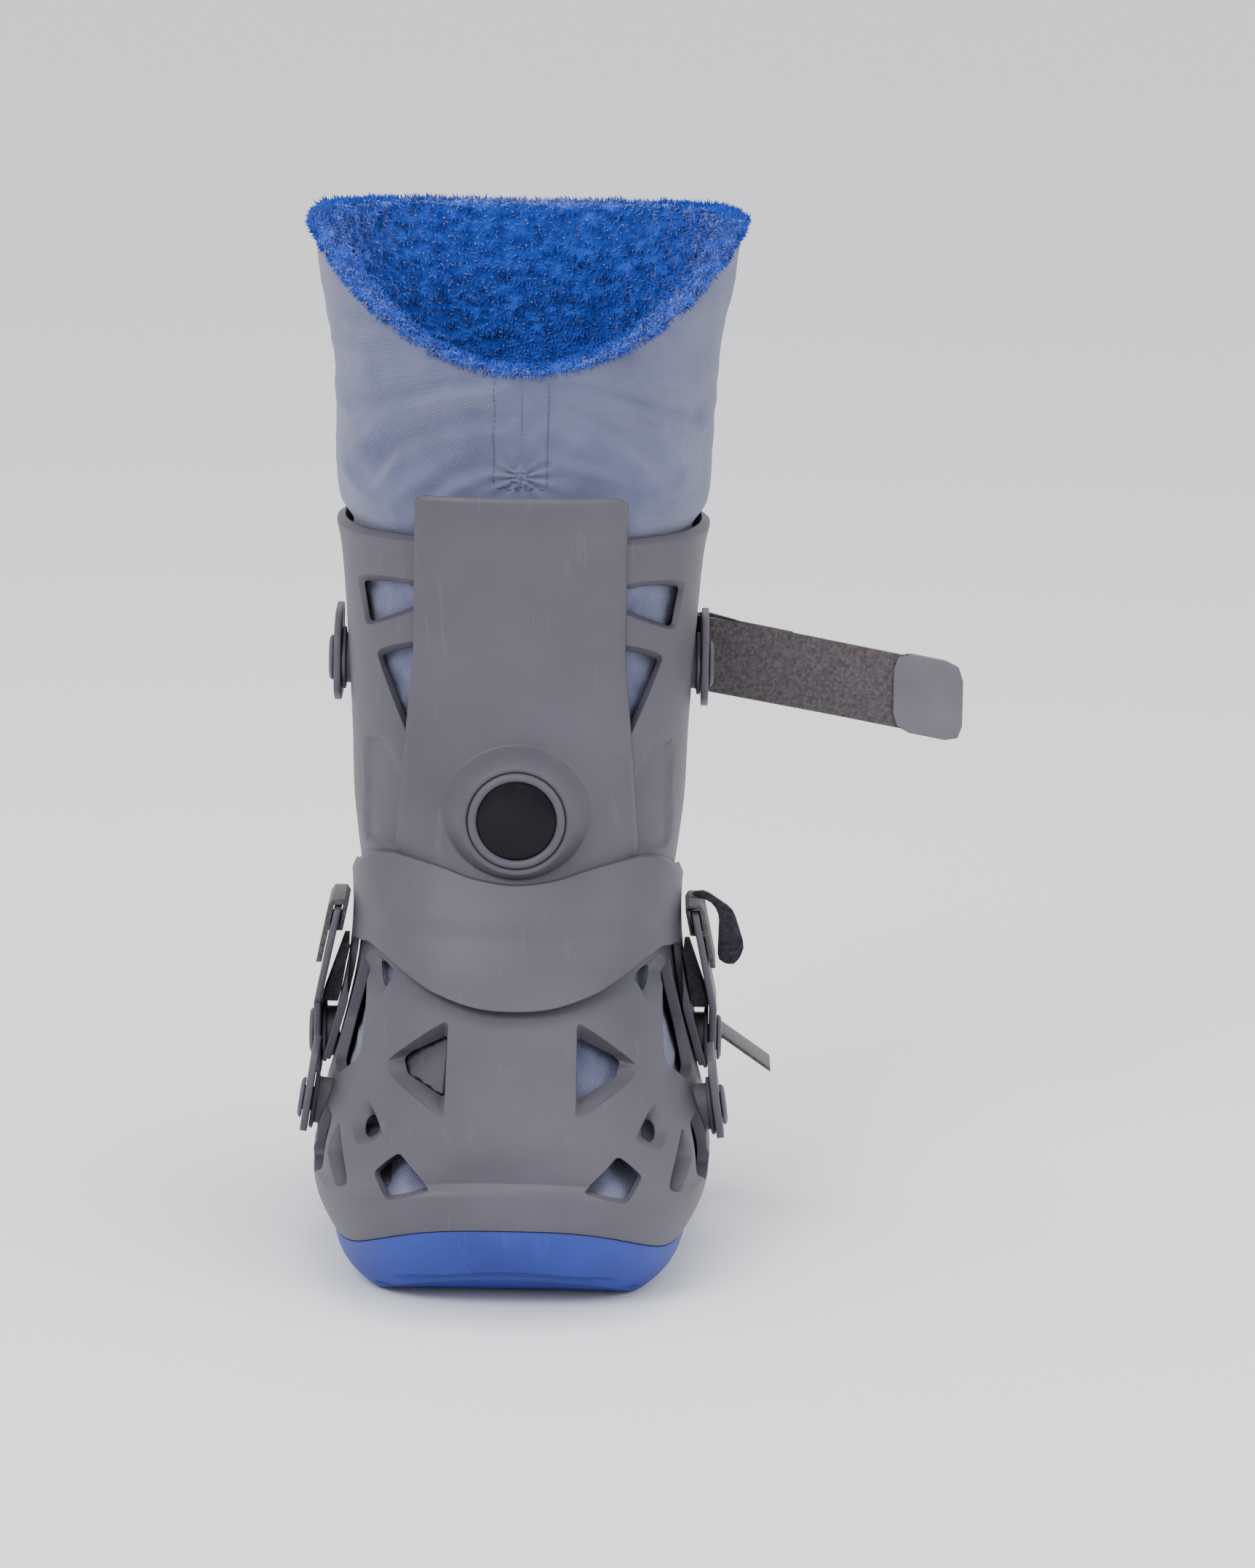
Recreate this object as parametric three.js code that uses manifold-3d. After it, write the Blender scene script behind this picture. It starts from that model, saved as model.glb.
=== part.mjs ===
// Walking boot for an injured foot: a rocker sole, a pierced plastic foot shell and leg cuff,
// a shin plate and an instep shield in front, strap anchors on studs, and a fleece-lined cloth liner.
// Millimetres, +Z up. The origin lies under the leg on the flat of the tread, the toe points to -Y.

import * as THREE from 'three';
import { mergeVertices } from 'three/addons/utils/BufferGeometryUtils.js';
import Module from 'manifold-3d';

const wasm = await Module();
wasm.setup();

// Main sizes of the boot
const BOOT_HEIGHT = 397;
const CUFF_TOP = 277;
const INSTEP_HEIGHT = 110;
const FOOT_WIDTH = 154;
const TOE_REACH = 197;
const HEEL_REACH = 81;
const LEG_WIDTH = 147;
const LEG_FRONT = 70;
const LEG_BACK = 72;

// Walls, gaps and the count of sides around the boot
const FOOT_WALL = 3.8;
const CUFF_WALL = 3.2;
const CLOTH_WALL = 2.4;
const FLEECE_WALL = 6;
const SEAT_GAP = 0.3;
const LINER_GAP = 1.3;
const FLEECE_GAP = 2;
const ROLL_GAP = 0.9;
const SIDES = 28;
const FLEECE_SIDES = 22;

// Rocker sole
const SOLE_HEIGHT = 17.7;
const SOLE_FLARE = 11;
const TOE_LIFT = 17;
const TOE_LIFT_START = 140;
const TREAD_FRONT = 150;
const TREAD_LIFT = 23;
const TREAD_HEEL = 62;
const HEEL_LIFT = 4;
const GROOVE_COUNT = 3;
const GROOVE_PITCH = 8;
const GROOVE_WIDTH = 2.4;
const GROOVE_DEPTH = 2;

// Bumper band around the bottom of the foot shell
const BUMPER_TOP = 37;
const BUMPER_STEP = 1.2;

// Seam between foot shell and cuff, as seen from the side
const SEAM_FRONT_HEIGHT = 122;
const SEAM_BACK_HEIGHT = 101;
const SEAM_GAP = 0.6;

// Shin plate with its round boss and badge
const PLATE_TOP = 295;
const PLATE_BOTTOM = 136;
const PLATE_WIDTH = 83;
const PLATE_FOOT_WIDTH = 95;
const PLATE_WALL = 3;
const PLATE_GAP = 0.6;
const BADGE_HEIGHT = 168.6;
const BADGE_FACE = 81;
const BOSS_RADIUS = 22;
const BOSS_FOOT_RADIUS = 28;
const BOSS_LENGTH = 13;
const BEZEL_RADIUS = 19;
const BEZEL_WALL = 3.2;
const BEZEL_LENGTH = 3;
const DISC_LENGTH = 2;

// Instep shield
const SHIELD_WALL = 2.8;
const SHIELD_TOP = 151;
const SHIELD_MIDDLE_TOP = 139;
const SHIELD_LOW = 97;
const SHIELD_LEG_WIDTH = 30;
const SHIELD_LEG_DROP = 10;

// Collar of the liner above the cuff
const COLLAR_WIDTH = 172;
const COLLAR_FRONT = 66;
const COLLAR_BACK = 68;
const COLLAR_BACK_HEIGHT = 390;
const COLLAR_NOTCH_HEIGHT = 344;
const FLEECE_ROLL = 4;

// Valve cap inside the notch of the collar
const VALVE_RADIUS = 6;
const VALVE_LENGTH = 3;
const VALVE_DROP = 2;

// Strap anchors, their studs and the straps
const ANCHOR_WALL = 2.8;
const STUD_GAP = 0.35;
const CAP_LENGTH = 1.8;
const STUD_NECK_SHARE = 0.42;
const STRAP_WIDTH = 30;
const STRAP_WALL = 2.2;
const STRAP_REACH = 162;
const STRAP_SLOPE = 0.185;
const STRAP_RETURN = 34;
const TAB_LENGTH = 28;
const TAB_REACH = 177;
const TAB_WALL = 4;

// Sections of the foot, lengths as shares of the main sizes: height of INSTEP_HEIGHT,
// width of FOOT_WIDTH, front and widest of TOE_REACH, back of HEEL_REACH
const FOOT_SECTIONS = [
  { height: 0.155, width: 0.883, front: 0.985, back: 0.975, widest: 0.305, squareness: 3.2 },
  { height: 0.2, width: 0.929, front: 0.995, back: 0.988, widest: 0.294, squareness: 3.2 },
  { height: 0.273, width: 0.983, front: 1, back: 0.994, widest: 0.279, squareness: 3.1 },
  { height: 0.336, width: 0.997, front: 0.975, back: 0.994, widest: 0.264, squareness: 3.0 },
  { height: 0.382, width: 0.997, front: 0.934, back: 0.988, widest: 0.254, squareness: 2.9 },
  { height: 0.436, width: 0.987, front: 0.883, back: 0.975, widest: 0.234, squareness: 2.8 },
  { height: 0.509, width: 0.958, front: 0.812, back: 0.951, widest: 0.203, squareness: 2.7 },
  { height: 0.582, width: 0.927, front: 0.746, back: 0.926, widest: 0.173, squareness: 2.6 },
  { height: 0.655, width: 0.899, front: 0.683, back: 0.901, widest: 0.142, squareness: 2.6 },
  { height: 0.727, width: 0.872, front: 0.624, back: 0.877, widest: 0.112, squareness: 2.6 },
  { height: 0.818, width: 0.843, front: 0.563, back: 0.84, widest: 0.081, squareness: 2.6 },
  { height: 0.909, width: 0.82, front: 0.513, back: 0.815, widest: 0.051, squareness: 2.6 },
  { height: 1, width: 0.808, front: 0.467, back: 0.796, widest: 0.025, squareness: 2.6 },
];

// Sections of the leg: height as a share of the way from INSTEP_HEIGHT to CUFF_TOP,
// width of LEG_WIDTH, front of LEG_FRONT, back of LEG_BACK
const LEG_SECTIONS = [
  { height: 0.06, width: 0.841, front: 1.214, back: 0.882, squareness: 2.6 },
  { height: 0.132, width: 0.842, front: 1.121, back: 0.875, squareness: 2.6 },
  { height: 0.24, width: 0.872, front: 1.021, back: 0.868, squareness: 2.6 },
  { height: 0.335, width: 0.896, front: 0.979, back: 0.875, squareness: 2.6 },
  { height: 0.479, width: 0.908, front: 0.957, back: 0.896, squareness: 2.6 },
  { height: 0.647, width: 0.929, front: 0.957, back: 0.931, squareness: 2.6 },
  { height: 0.868, width: 0.965, front: 0.971, back: 0.972, squareness: 2.5 },
  { height: 1, width: 1, front: 1, back: 1, squareness: 2.4 },
  { height: 1.15, width: 1.035, front: 1.04, back: 1.03, squareness: 2.4 },
];

// Sections of the liner's collar: rise as a share of the way from the cuff to the rim,
// width of COLLAR_WIDTH, front of COLLAR_FRONT, back of COLLAR_BACK
const COLLAR_SECTIONS = [
  { rise: 0, width: 0.806, front: 1, back: 1, squareness: 2.4 },
  { rise: 0.08, width: 0.835, front: 1, back: 1, squareness: 2.4 },
  { rise: 0.25, width: 0.858, front: 0.97, back: 0.985, squareness: 2.35 },
  { rise: 0.45, width: 0.888, front: 0.945, back: 0.97, squareness: 2.3 },
  { rise: 0.66, width: 0.922, front: 0.93, back: 0.95, squareness: 2.25 },
  { rise: 0.82, width: 0.965, front: 0.92, back: 0.935, squareness: 2.2 },
  { rise: 1, width: 1, front: 0.91, back: 0.92, squareness: 2.2 },
];

// Soft folds pressed into the collar's cloth: angle in degrees from the front, rise and the spans
// as shares of the collar's height, depth as a share of the liner's wall
const COLLAR_FOLDS = [
  { angle: -30, rise: 0.3, angleSpan: 16, riseSpan: 0.2, depth: 0.7 },
  { angle: -58, rise: 0.5, angleSpan: 14, riseSpan: 0.24, depth: 0.5 },
  { angle: 26, rise: 0.26, angleSpan: 15, riseSpan: 0.2, depth: 0.7 },
  { angle: 60, rise: 0.46, angleSpan: 16, riseSpan: 0.26, depth: 0.45 },
  { angle: 0, rise: 0.14, angleSpan: 9, riseSpan: 0.12, depth: 0.8 },
];

const radians = (degrees) => (degrees * Math.PI) / 180;

const BODY_SECTIONS = [
  ...FOOT_SECTIONS.map((row) => ({
    height: row.height * INSTEP_HEIGHT,
    halfWidth: (row.width * FOOT_WIDTH) / 2,
    front: row.front * TOE_REACH,
    back: row.back * HEEL_REACH,
    widest: row.widest * TOE_REACH,
    squareness: row.squareness,
  })),
  ...LEG_SECTIONS.map((row) => ({
    height: INSTEP_HEIGHT + row.height * (CUFF_TOP - INSTEP_HEIGHT),
    halfWidth: (row.width * LEG_WIDTH) / 2,
    front: row.front * LEG_FRONT,
    back: row.back * LEG_BACK,
    widest: 0,
    squareness: row.squareness,
  })),
];

const COLLAR_ROWS = COLLAR_SECTIONS.map((row) => ({
  height: row.rise,
  halfWidth: (row.width * COLLAR_WIDTH) / 2,
  front: row.front * COLLAR_FRONT,
  back: row.back * COLLAR_BACK,
  widest: 0,
  squareness: row.squareness,
}));

// Section at a height between the rows of a table
function sectionAt(rows, height) {
  const last = rows.length - 1;
  const above = rows.findIndex((row) => row.height >= height);
  const upper = above < 0 ? last : Math.max(above, 1);
  const low = rows[upper - 1];
  const high = rows[upper];
  const share = THREE.MathUtils.clamp((height - low.height) / (high.height - low.height), 0, 1);
  const section = {};
  for (const key of Object.keys(low)) {
    section[key] = THREE.MathUtils.lerp(low[key], high[key], share);
  }
  return section;
}

// Point of a section at an angle from the front, moved in from its edge; share 0 is its centre
function sectionPoint(section, angle, inset, share) {
  const side = Math.sin(angle);
  const ahead = Math.cos(angle);
  const reach = (ahead >= 0 ? section.front - section.widest : section.back + section.widest) - inset;
  const power = section.squareness;
  const size = (Math.abs(side) ** power + Math.abs(ahead) ** power) ** (-1 / power);
  const x = (section.halfWidth - inset) * side * size * share;
  const y = -section.widest - reach * ahead * size * share;
  return { x, y };
}

// How far the toe end of the shell and the sole's top curve up
function toeLift(y) {
  const past = Math.max(0, -TOE_LIFT_START - y) / (TOE_REACH - TOE_LIFT_START);
  return TOE_LIFT * past ** 2;
}

// Underside of the sole, flat between the toe and heel curves
function treadHeight(y) {
  const toe = Math.max(0, -TREAD_FRONT - y) / (TOE_REACH - TREAD_FRONT);
  const heel = Math.max(0, y - TREAD_HEEL) / (HEEL_REACH - TREAD_HEEL);
  return TREAD_LIFT * toe ** 1.6 + HEEL_LIFT * heel ** 2;
}

// Point on the boot's body at a height, moved in from its outer face
function bodyPoint(angle, { height, inset = 0, sideInset = inset, share = 1 }) {
  const depth = THREE.MathUtils.lerp(inset, sideInset, Math.sin(angle) ** 8);
  const section = sectionAt(BODY_SECTIONS, height + depth / 2);
  const { x, y } = sectionPoint(section, angle, depth, share);
  const fade = THREE.MathUtils.clamp((INSTEP_HEIGHT - 35 - height) / (INSTEP_HEIGHT - 35 - BUMPER_TOP), 0, 1);
  return new THREE.Vector3(x, y, height + toeLift(y) * fade);
}

// Height of the collar's rim, highest at the sides and low in the front notch
function rimHeight(angle) {
  if (Math.cos(angle) >= 0) {
    const drop = BOOT_HEIGHT - COLLAR_NOTCH_HEIGHT;
    return BOOT_HEIGHT - drop * (1 - Math.abs(Math.sin(angle)) ** 2.1);
  }
  return THREE.MathUtils.lerp(BOOT_HEIGHT, COLLAR_BACK_HEIGHT, Math.cos(angle) ** 2);
}

function foldDepth(angle, rise) {
  let depth = 0;
  for (const fold of COLLAR_FOLDS) {
    const degrees = THREE.MathUtils.radToDeg(Math.atan2(Math.sin(angle), Math.cos(angle)));
    const turn = (degrees - fold.angle) / fold.angleSpan;
    const climb = (rise - fold.rise) / fold.riseSpan;
    depth += fold.depth * CLOTH_WALL * Math.exp(-turn * turn - climb * climb);
  }
  return depth;
}

// Point on the collar; rise runs from 0 at the cuff's top to 1 at the rim, lift adds to the height
function collarPoint(angle, { rise, inset = 0, lift = 0 }) {
  const section = sectionAt(COLLAR_ROWS, rise);
  const { x, y } = sectionPoint(section, angle, inset + foldDepth(angle, rise), 1);
  const top = rimHeight(angle) - FLEECE_ROLL;
  return new THREE.Vector3(x, y, CUFF_TOP + rise * (top - CUFF_TOP) + lift);
}

const linerPoint = (angle, ring) => ('rise' in ring ? collarPoint(angle, ring) : bodyPoint(angle, ring));

// Underside, walls and top of the sole; rise runs from 0 at the tread to 1 at the shell
function solePoint(angle, { rise, share = 1 }) {
  const inset = SOLE_FLARE * (1 - rise) ** 2.4 - BUMPER_STEP / 2;
  const { x, y } = sectionPoint(sectionAt(BODY_SECTIONS, SOLE_HEIGHT), angle, inset, share);
  return new THREE.Vector3(x, y, THREE.MathUtils.lerp(treadHeight(y), SOLE_HEIGHT + toeLift(y), rise));
}

// Floor and lower edge of the foot shell, which lie on the sole
function shellFloorPoint(angle, { share = 1 }) {
  const point = solePoint(angle, { rise: 1, share });
  point.z += SEAT_GAP;
  return point;
}

// Closed surface through rings around the boot; rings with share 0 close it on its centre line
function ringGeometry(rings, place, sides = SIDES) {
  const closed = rings[0].share === 0 ? rings : [...rings, rings[0]];
  const profile = closed.map((ring, row) => new THREE.Vector2(ring.share === 0 ? 0 : 1, row));
  const geometry = new THREE.LatheGeometry(profile, sides);
  const position = geometry.attributes.position;
  for (let index = 0; index < position.count; index += 1) {
    const side = Math.floor(index / closed.length) % sides;
    const point = place((2 * Math.PI * side) / sides, closed[index % closed.length]);
    position.setXYZ(index, point.x, point.y, point.z);
  }
  return geometry;
}

// Closed solid ready to be joined and cut
function toSolid(geometry) {
  geometry.deleteAttribute('normal');
  geometry.deleteAttribute('uv');
  const merged = mergeVertices(geometry, 1e-3);
  const corners = merged.index.array;
  const kept = [];
  for (let index = 0; index < corners.length; index += 3) {
    const [a, b, c] = corners.slice(index, index + 3);
    if (a !== b && b !== c && c !== a) kept.push(a, b, c);
  }
  const mesh = new wasm.Mesh({
    numProp: 3,
    vertProperties: merged.attributes.position.array,
    triVerts: new Uint32Array(kept),
  });
  return new wasm.Manifold(mesh);
}

function toGeometry(solid) {
  const mesh = solid.getMesh();
  const geometry = new THREE.BufferGeometry();
  geometry.setAttribute('position', new THREE.BufferAttribute(mesh.vertProperties, 3));
  geometry.setIndex(new THREE.BufferAttribute(mesh.triVerts, 1));
  geometry.computeVertexNormals();
  return geometry;
}

// Outline with rounded corners
function roundedShape(points, radius) {
  const shape = new THREE.Shape();
  const corners = points.map(([across, up]) => new THREE.Vector2(across, up));
  corners.forEach((corner, index) => {
    const before = corners[(index + corners.length - 1) % corners.length];
    const after = corners[(index + 1) % corners.length];
    const cut = Math.min(radius, corner.distanceTo(before) / 2.2, corner.distanceTo(after) / 2.2);
    const start = corner.clone().add(before.clone().sub(corner).setLength(cut));
    const end = corner.clone().add(after.clone().sub(corner).setLength(cut));
    if (index === 0) shape.moveTo(start.x, start.y);
    else shape.lineTo(start.x, start.y);
    shape.quadraticCurveTo(corner.x, corner.y, end.x, end.y);
  });
  shape.closePath();
  return shape;
}

const AXES = {
  x: new THREE.Vector3(1, 0, 0),
  y: new THREE.Vector3(0, 1, 0),
  z: new THREE.Vector3(0, 0, 1),
  front: new THREE.Vector3(0, -1, 0),
};

// Outline in the front view (x, z), from one y forward to another
function frontPrism(shape, backY, frontY, options = {}) {
  const settings = { depth: backY - frontY, bevelEnabled: false, curveSegments: 2, ...options };
  const geometry = new THREE.ExtrudeGeometry(shape, settings);
  geometry.applyMatrix4(new THREE.Matrix4().makeBasis(AXES.x, AXES.z, AXES.front));
  geometry.translate(0, backY, 0);
  return geometry;
}

// Outline in the side view (y, z), from one x to another
function sidePrism(shape, fromX, toX, options = {}) {
  const start = Math.min(fromX, toX);
  const geometry = new THREE.ExtrudeGeometry(shape, {
    depth: Math.abs(toX - fromX),
    bevelEnabled: false,
    curveSegments: 2,
    ...options,
  });
  geometry.applyMatrix4(new THREE.Matrix4().makeBasis(AXES.y, AXES.z, AXES.x));
  geometry.translate(start, 0, 0);
  return geometry;
}

// Outline in the top view (x, y), from one height to another
function topPrism(shape, low, high) {
  const settings = { depth: high - low, bevelEnabled: false, curveSegments: 2 };
  const geometry = new THREE.ExtrudeGeometry(shape, settings);
  geometry.translate(0, 0, low);
  return geometry;
}

const polygon = (points) => new THREE.Shape(points.map(([across, up]) => new THREE.Vector2(across, up)));

const PLASTIC = { color: 0x77757f, roughness: 0.55, metalness: 0 };
const MATERIALS = {
  sole: { color: 0x3e5cb9, roughness: 0.6, metalness: 0 },
  shell: PLASTIC,
  cloth: { color: 0x8288aa, roughness: 0.9, metalness: 0 },
  fleece: { color: 0x2d55be, roughness: 1, metalness: 0 },
  strap: { color: 0x6a5f69, roughness: 0.95, metalness: 0 },
  black: { color: 0x1c1b20, roughness: 0.6, metalness: 0 },
  disc: { color: 0x15141a, roughness: 0.15, metalness: 0 },
};

const boot = new THREE.Group();

function addPiece(name, solid, material) {
  const mesh = new THREE.Mesh(toGeometry(solid), new THREE.MeshStandardMaterial(MATERIALS[material]));
  mesh.name = name;
  boot.add(mesh);
  return solid;
}

// Outsole with curved grooves under the raised toe
const soleRings = [
  { rise: 0, share: 0 },
  { rise: 0, share: 0.5 },
  { rise: 0, share: 0.8 },
  { rise: 0, share: 1 },
  { rise: 0.35, share: 1 },
  { rise: 1, share: 1 },
  { rise: 1, share: 0.8 },
  { rise: 1, share: 0.5 },
  { rise: 1, share: 0 },
];
let outsole = toSolid(ringGeometry(soleRings, solePoint));
const grooveCentre = -TREAD_FRONT * 0.55;
const grooveReach = TOE_REACH + GROOVE_DEPTH;
const grooveEnd = TREAD_FRONT * 0.733;
for (let groove = 0; groove < GROOVE_COUNT; groove += 1) {
  const radius = TOE_REACH + grooveCentre - SOLE_FLARE / 2 - GROOVE_PITCH * (groove + 1);
  const arc = new THREE.Shape();
  arc.absarc(0, grooveCentre, radius + GROOVE_WIDTH / 2, radians(-125), radians(-55), false);
  arc.absarc(0, grooveCentre, radius - GROOVE_WIDTH / 2, radians(-55), radians(-125), true);
  const band = topPrism(arc, -1, SOLE_HEIGHT + TOE_LIFT);
  const under = [];
  for (let step = 0; step <= 6; step += 1) {
    const y = THREE.MathUtils.lerp(-grooveReach, -grooveEnd, step / 6);
    under.push([y, treadHeight(y) + GROOVE_DEPTH]);
  }
  const side = polygon([...under, [-grooveEnd, -GROOVE_DEPTH], [-grooveReach, -GROOVE_DEPTH]]);
  const layer = sidePrism(side, -FOOT_WIDTH / 2, FOOT_WIDTH / 2);
  outsole = outsole.subtract(toSolid(band).intersect(toSolid(layer)));
}

// Seam line between foot shell and cuff, seen from the side
const seamLine = (offset) => [
  [-TOE_REACH, SEAM_FRONT_HEIGHT + offset],
  [-LEG_FRONT * 0.62, SEAM_FRONT_HEIGHT + offset],
  [LEG_BACK * 0.05, SEAM_BACK_HEIGHT + offset],
  [HEEL_REACH + 20, SEAM_BACK_HEIGHT + offset],
];
const seamBlock = (offset, end) => {
  const outline = polygon([...seamLine(offset), [HEEL_REACH + 20, end], [-TOE_REACH, end]]);
  return toSolid(sidePrism(outline, -FOOT_WIDTH, FOOT_WIDTH));
};
const aboveSeam = (offset) => seamBlock(offset, BOOT_HEIGHT);
const belowSeam = (offset) => seamBlock(offset, -SOLE_HEIGHT);

// Heights of the rings that shells and liner share, so that their faces run side by side
const footHeight = (row) => FOOT_SECTIONS[row].height * INSTEP_HEIGHT;
const legHeight = (row) => INSTEP_HEIGHT + LEG_SECTIONS[row].height * (CUFF_TOP - INSTEP_HEIGHT);
const SHELL_ROWS = [4, 5, 7, 8, 10, 12];
const FOOT_RINGS = [2, 4, 7, 10, 12].map(footHeight);
const LEG_RINGS = [1, 2, 4, 6, 7].map(legHeight);
const shellFloor = SOLE_HEIGHT + SEAT_GAP;
const shellBandTop = legHeight(1);

const footRings = [
  { floor: true, share: 0 },
  { floor: true, share: 0.5 },
  { floor: true, share: 0.8 },
  { floor: true },
  { height: (shellFloor + BUMPER_TOP) / 2, inset: -BUMPER_STEP },
  { height: BUMPER_TOP - 1, inset: -BUMPER_STEP },
  { height: BUMPER_TOP + 1, inset: 0 },
  ...SHELL_ROWS.map((row) => ({ height: footHeight(row) })),
  { height: shellBandTop },
  { height: shellBandTop, inset: FOOT_WALL },
  ...[...FOOT_RINGS].reverse().map((height) => ({ height, inset: FOOT_WALL })),
  { height: shellFloor + FOOT_WALL, inset: FOOT_WALL },
  { height: shellFloor + FOOT_WALL, inset: FOOT_WALL, share: 0.8 },
  { height: shellFloor + FOOT_WALL, inset: FOOT_WALL, share: 0.5 },
  { height: shellFloor + FOOT_WALL, share: 0 },
];
const shellPoint = (angle, ring) => (ring.floor ? shellFloorPoint(angle, ring) : bodyPoint(angle, ring));
const footCup = toSolid(ringGeometry(footRings, shellPoint));
addPiece('outsole', outsole.subtract(footCup.translate([0, 0, -SEAT_GAP])), 'sole');
let footShell = footCup.intersect(belowSeam(-SEAM_GAP / 2));

// Windows of the toe cover, outlines in the front view as shares of half FOOT_WIDTH and INSTEP_HEIGHT
const TOE_WINDOWS = [
  { back: 0.32, corners: [[0.657, 0.698], [0.363, 0.843], [0.375, 0.589]] },
  { back: 0.32, corners: [[0.745, 0.58], [0.8, 0.52], [0.785, 0.475], [0.665, 0.57]] },
  { back: 0.32, corners: [[0.735, 0.4], [0.62, 0.53], [0.434, 0.445], [0.6, 0.39]] },
  { back: 0.12, corners: [[0.745, 1.0], [0.79, 0.93], [0.66, 0.87], [0.6, 0.97]] },
];
const TOE_WINDOW_ROUND = 3;

// Openings in the sides of the foot shell, outlines in the side view as shares of TOE_REACH and INSTEP_HEIGHT
const SIDE_WINDOWS = [
  { corners: [[-0.28, 0.93], [-0.2, 0.98], [-0.2, 0.72], [-0.27, 0.6], [-0.39, 0.59], [-0.46, 0.68]] },
  { corners: [[-0.42, 0.5], [-0.52, 0.5], [-0.64, 0.36], [-0.56, 0.3], [-0.4, 0.3]] },
];
const SIDE_WINDOW_ROUND = 4;

for (const window of TOE_WINDOWS) {
  for (const side of [-1, 1]) {
    const points = window.corners.map(([across, up]) => [(side * across * FOOT_WIDTH) / 2, up * INSTEP_HEIGHT]);
    footShell = footShell.subtract(
      toSolid(frontPrism(roundedShape(points, TOE_WINDOW_ROUND), -window.back * TOE_REACH, -TOE_REACH - 10)),
    );
  }
}
for (const window of SIDE_WINDOWS) {
  for (const side of [-1, 1]) {
    const points = window.corners.map(([along, up]) => [along * TOE_REACH, up * INSTEP_HEIGHT]);
    footShell = footShell.subtract(
      toSolid(sidePrism(roundedShape(points, SIDE_WINDOW_ROUND), (side * FOOT_WIDTH) / 4, side * FOOT_WIDTH)),
    );
  }
}
addPiece('foot_shell', footShell, 'shell');

// Leg cuff with a window beside the shin plate on each side, crossed by a strut, and a sunk side panel
const CUFF_WINDOWS = [
  { corners: [[0.88, 0.945], [0.82, 0.865], [0.45, 0.885], [0.45, 0.932]] },
  { corners: [[0.765, 0.832], [0.45, 0.845], [0.45, 0.69], [0.56, 0.7], [0.68, 0.765]] },
];
const CUFF_WINDOW_ROUND = 4;
const CUFF_PANEL = [[0.815, 0.7], [0.72, 0.7], [0.6, 0.645], [0.615, 0.55], [0.82, 0.55]];
const CUFF_PANEL_DEPTH = 0.8;
const cuffBase = footHeight(10);
const cuffRings = [
  { height: cuffBase },
  { height: INSTEP_HEIGHT },
  ...LEG_RINGS.slice(0, -1).map((height) => ({ height })),
  { height: CUFF_TOP },
  { height: CUFF_TOP, inset: CUFF_WALL },
  ...LEG_RINGS.slice(0, -1).reverse().map((height) => ({ height, inset: CUFF_WALL })),
  { height: cuffBase, inset: CUFF_WALL },
];
let cuff = toSolid(ringGeometry(cuffRings, bodyPoint)).intersect(aboveSeam(SEAM_GAP / 2));
for (const side of [-1, 1]) {
  for (const window of CUFF_WINDOWS) {
    const points = window.corners.map(([across, up]) => [(side * across * LEG_WIDTH) / 2, up * CUFF_TOP]);
    const hole = frontPrism(roundedShape(points, CUFF_WINDOW_ROUND), -LEG_FRONT * 0.3, -LEG_FRONT * 1.5);
    cuff = cuff.subtract(toSolid(hole));
  }
  const panel = CUFF_PANEL.map(([across, up]) => [(side * across * LEG_WIDTH) / 2, up * CUFF_TOP]);
  const core = [
    { height: cuffBase, share: 0 },
    { height: cuffBase, inset: CUFF_PANEL_DEPTH },
    { height: INSTEP_HEIGHT, inset: CUFF_PANEL_DEPTH },
    ...LEG_RINGS.map((height) => ({ height, inset: CUFF_PANEL_DEPTH })),
    { height: CUFF_TOP, share: 0 },
  ];
  const skin = toSolid(frontPrism(roundedShape(panel, 3), -LEG_FRONT * 0.3, -LEG_FRONT * 1.5));
  cuff = cuff.subtract(skin.subtract(toSolid(ringGeometry(core, bodyPoint))));
}
addPiece('cuff_shell', cuff, 'shell');

// Instep shield: a saddle over the toe cover and the foot of the shin plate, with a leg down each side
const plateOut = PLATE_GAP + PLATE_WALL;
const shieldSeat = plateOut + SEAT_GAP + 0.4;
const SHIELD_RINGS = [
  { height: 0.436, over: 1 },
  { height: 0.655, over: 1 },
  { height: 0.818, over: 1 },
  { height: 1, over: 1.2 },
  { height: 1.091, over: 2.4 },
  { height: 1.2, over: shieldSeat },
  { height: 1.364, over: shieldSeat },
  { height: 1.508, over: shieldSeat },
];
const shieldSide = 0.8;
const shieldRings = [
  ...SHIELD_RINGS.map((row) => ({
    height: row.height * INSTEP_HEIGHT,
    inset: -row.over - SHIELD_WALL,
    sideInset: -shieldSide - SHIELD_WALL,
  })),
  ...[...SHIELD_RINGS].reverse().map((row) => ({
    height: row.height * INSTEP_HEIGHT,
    inset: -row.over,
    sideInset: -shieldSide,
  })),
];
const ANKLE_STUD = { y: -0.1015 * TOE_REACH, height: 0.6327 * INSTEP_HEIGHT };
const legHalf = SHIELD_LEG_WIDTH / 2;
const shieldSideView = roundedShape(
  [
    [-TOE_REACH, SHIELD_LOW],
    [-LEG_FRONT * 1.15, SHIELD_LOW + 2],
    [ANKLE_STUD.y - legHalf - 4, SHIELD_LOW + 4],
    [ANKLE_STUD.y - legHalf, ANKLE_STUD.height - SHIELD_LEG_DROP],
    [ANKLE_STUD.y + legHalf, ANKLE_STUD.height - SHIELD_LEG_DROP],
    [ANKLE_STUD.y + legHalf - 4, SHIELD_LOW + 10],
    [-LEG_FRONT * 0.35, SHIELD_TOP],
    [-TOE_REACH, SHIELD_TOP],
  ],
  9,
);
const halfLeg = LEG_WIDTH / 2;
const shieldTopView = (side) => [side * halfLeg * 1.3, SHIELD_TOP - 14];
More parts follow.
